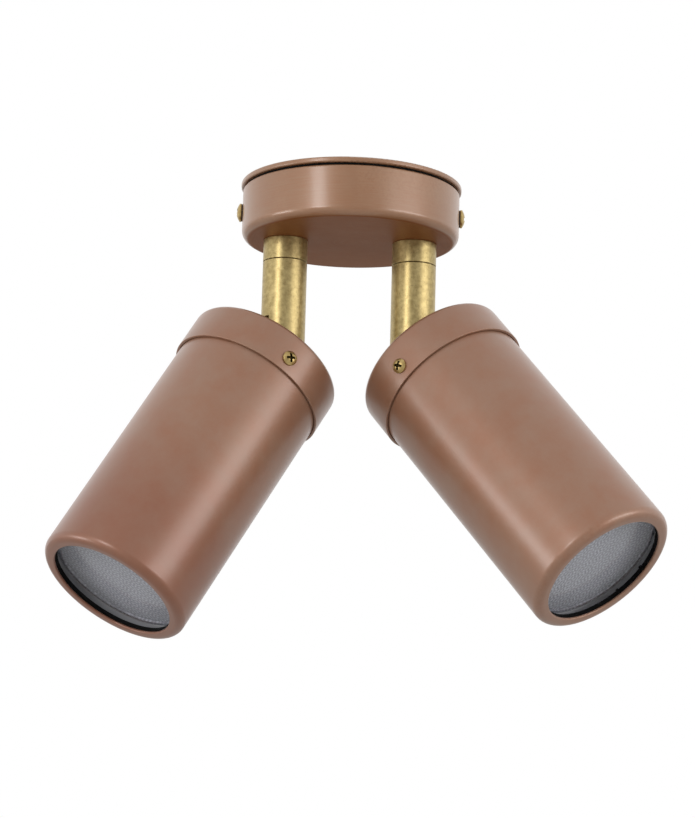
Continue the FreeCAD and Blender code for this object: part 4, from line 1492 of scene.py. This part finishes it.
@dataclass
class Studio:
    """Floor, sky, lamps and the camera at the photograph's viewing angle. Metres.

    Args:
        eye: The camera's place.
        right: Its direction to the right.
        up: Its direction upwards.
        ahead: Its viewing direction.
        focal_px: Focal length in pixels of the photograph.
        frame_px: Width of the photograph in pixels.
        sensor: Width of the camera's sensor, millimetres.
        floor_height: Height of the floor.
        floor_half: Half its width.
        floor_patch_mm: Size of its faint patches, millimetres.
        floor_colours: Its colour in the darker and the lighter patches.
        sky_behind: Share of +Y in a direction from which mirrors see the bright sky, start and end.
        sky_ahead: Share of -Y from which the soft sky is darker, start and end.
        soft_sky: Colours of the soft sky, first round about and then ahead.
        lamps: The soft lamps.
    """

    eye: tuple[float, float, float] = (-0.01833, -1.17573, -0.33266)
    right: tuple[float, float, float] = (0.99941, -0.02168, 0.02671)
    up: tuple[float, float, float] = (-0.03048, -0.19818, 0.97969)
    ahead: tuple[float, float, float] = (0.01594, 0.97993, 0.19873)
    focal_px: float = 2925.96
    frame_px: float = 695.0
    sensor: float = 36.0
    floor_height: float = -0.46
    floor_half: float = 6.0
    floor_patch_mm: float = 60.0
    floor_colours: tuple[Colour, Colour] = ((0.53, 0.53, 0.52), (0.57, 0.57, 0.56))
    sky_behind: tuple[float, float] = (-0.15, 0.75)
    sky_ahead: tuple[float, float] = (0.75, 1.0)
    soft_sky: tuple[Colour, Colour] = ((0.86, 0.86, 0.86), (0.50, 0.50, 0.50))
    lamps: tuple[Softbox, ...] = (
        Softbox("front_left", place=(-0.90, -1.29, 0.20), aim=(0.0, 0.0, -0.03),
                size=(0.30, 0.5), power=5.0),
        Softbox("side_left", place=(-1.52, -0.42, -0.24), aim=(0.0, 0.0, -0.13),
                size=(0.5, 0.36), power=4.2),
        Softbox("side_right", place=(1.38, -0.84, 0.08), aim=(0.0, 0.0, -0.08),
                size=(1.1, 0.5), power=7.2))

    def camera(self) -> None:
        """Camera from its fitted place and directions, made exactly square to each other."""
        data = bpy.data.cameras.new("photo_view")
        data.sensor_fit, data.sensor_width = "HORIZONTAL", self.sensor
        data.lens = self.focal_px * self.sensor / self.frame_px
        one, _, other = np.linalg.svd(np.stack([self.right, self.up, -np.array(self.ahead)], 1))
        matrix = np.eye(4)
        matrix[:3, :3], matrix[:3, 3] = one @ other, self.eye
        made = linked("photo_view", data)
        made.matrix_world = Matrix(matrix.tolist())
        bpy.context.scene.camera = made

    def sky(self) -> None:
        """White background for the camera, and a soft sky that is brighter behind the object."""
        world = bpy.data.worlds.new("soft_sky")
        bpy.context.scene.world = world
        graph = Graph(world)
        path = graph.add("ShaderNodeLightPath")
        camera = Number(graph, path.outputs["Is Camera Ray"])
        gloss = Number(graph, path.outputs["Is Glossy Ray"])
        through = Number(graph, path.outputs["Is Transmission Ray"])
        direction = graph.add("ShaderNodeTexCoord").outputs["Generated"]
        _, towards_back, _ = graph.parts_of(direction)
        behind = towards_back.between(*self.sky_behind)
        ahead = (0.0 - towards_back).between(*self.sky_ahead)
        white = camera.larger(gloss.larger(through) * behind)
        colour = graph.mixed(white, graph.mixed(ahead, *self.soft_sky), WHITE)
        light = graph.add("ShaderNodeBackground", inputs={"Color": colour, "Strength": 1.0})
        graph.add("ShaderNodeOutputWorld", inputs={0: light.outputs[0]})

    def floor(self) -> None:
        """Pale floor that keeps the object's shadow."""
        half, z = self.floor_half, self.floor_height
        mesh = bpy.data.meshes.new("pale_floor")
        mesh.from_pydata([(-half, -half, z), (half, -half, z), (half, half, z), (-half, half, z)],
                         [], [(0, 1, 2, 3)])
        made = linked("pale_floor", mesh)
        material = bpy.data.materials.new("pale_floor")
        graph = Graph(material)
        grit = graph.noise(graph.object_place(), self.floor_patch_mm)
        graph.surface({"Base Color": graph.mixed(grit, *self.floor_colours), "Roughness": 0.9})
        mesh.materials.append(material)

    def build(self) -> None:
        """Set up the whole studio."""
        self.camera()
        self.sky()
        self.floor()
        for lamp in self.lamps:
            lamp.build()
        bpy.context.scene.view_settings.view_transform = "Standard"


def main() -> None:
    """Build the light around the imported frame, then the studio."""
    logging.basicConfig(level=logging.INFO, format="%(name)s: %(message)s")
    sides = (Side("left", stem_x=-26.7, azimuth=215.3, tilt=34.2, cap_turn=-9.8,
                  copper=MOUTH_SHADED_COPPER),
             Side("right", stem_x=26.7, azimuth=-36.3, tilt=42.1, cap_turn=-1.2))
    Canopy().build()
    for side in sides:
        Stem(side=side).build()
        Head(side=side).build()
    HiddenParts().build()
    Studio().build()


if __name__ == "__main__":
    main()
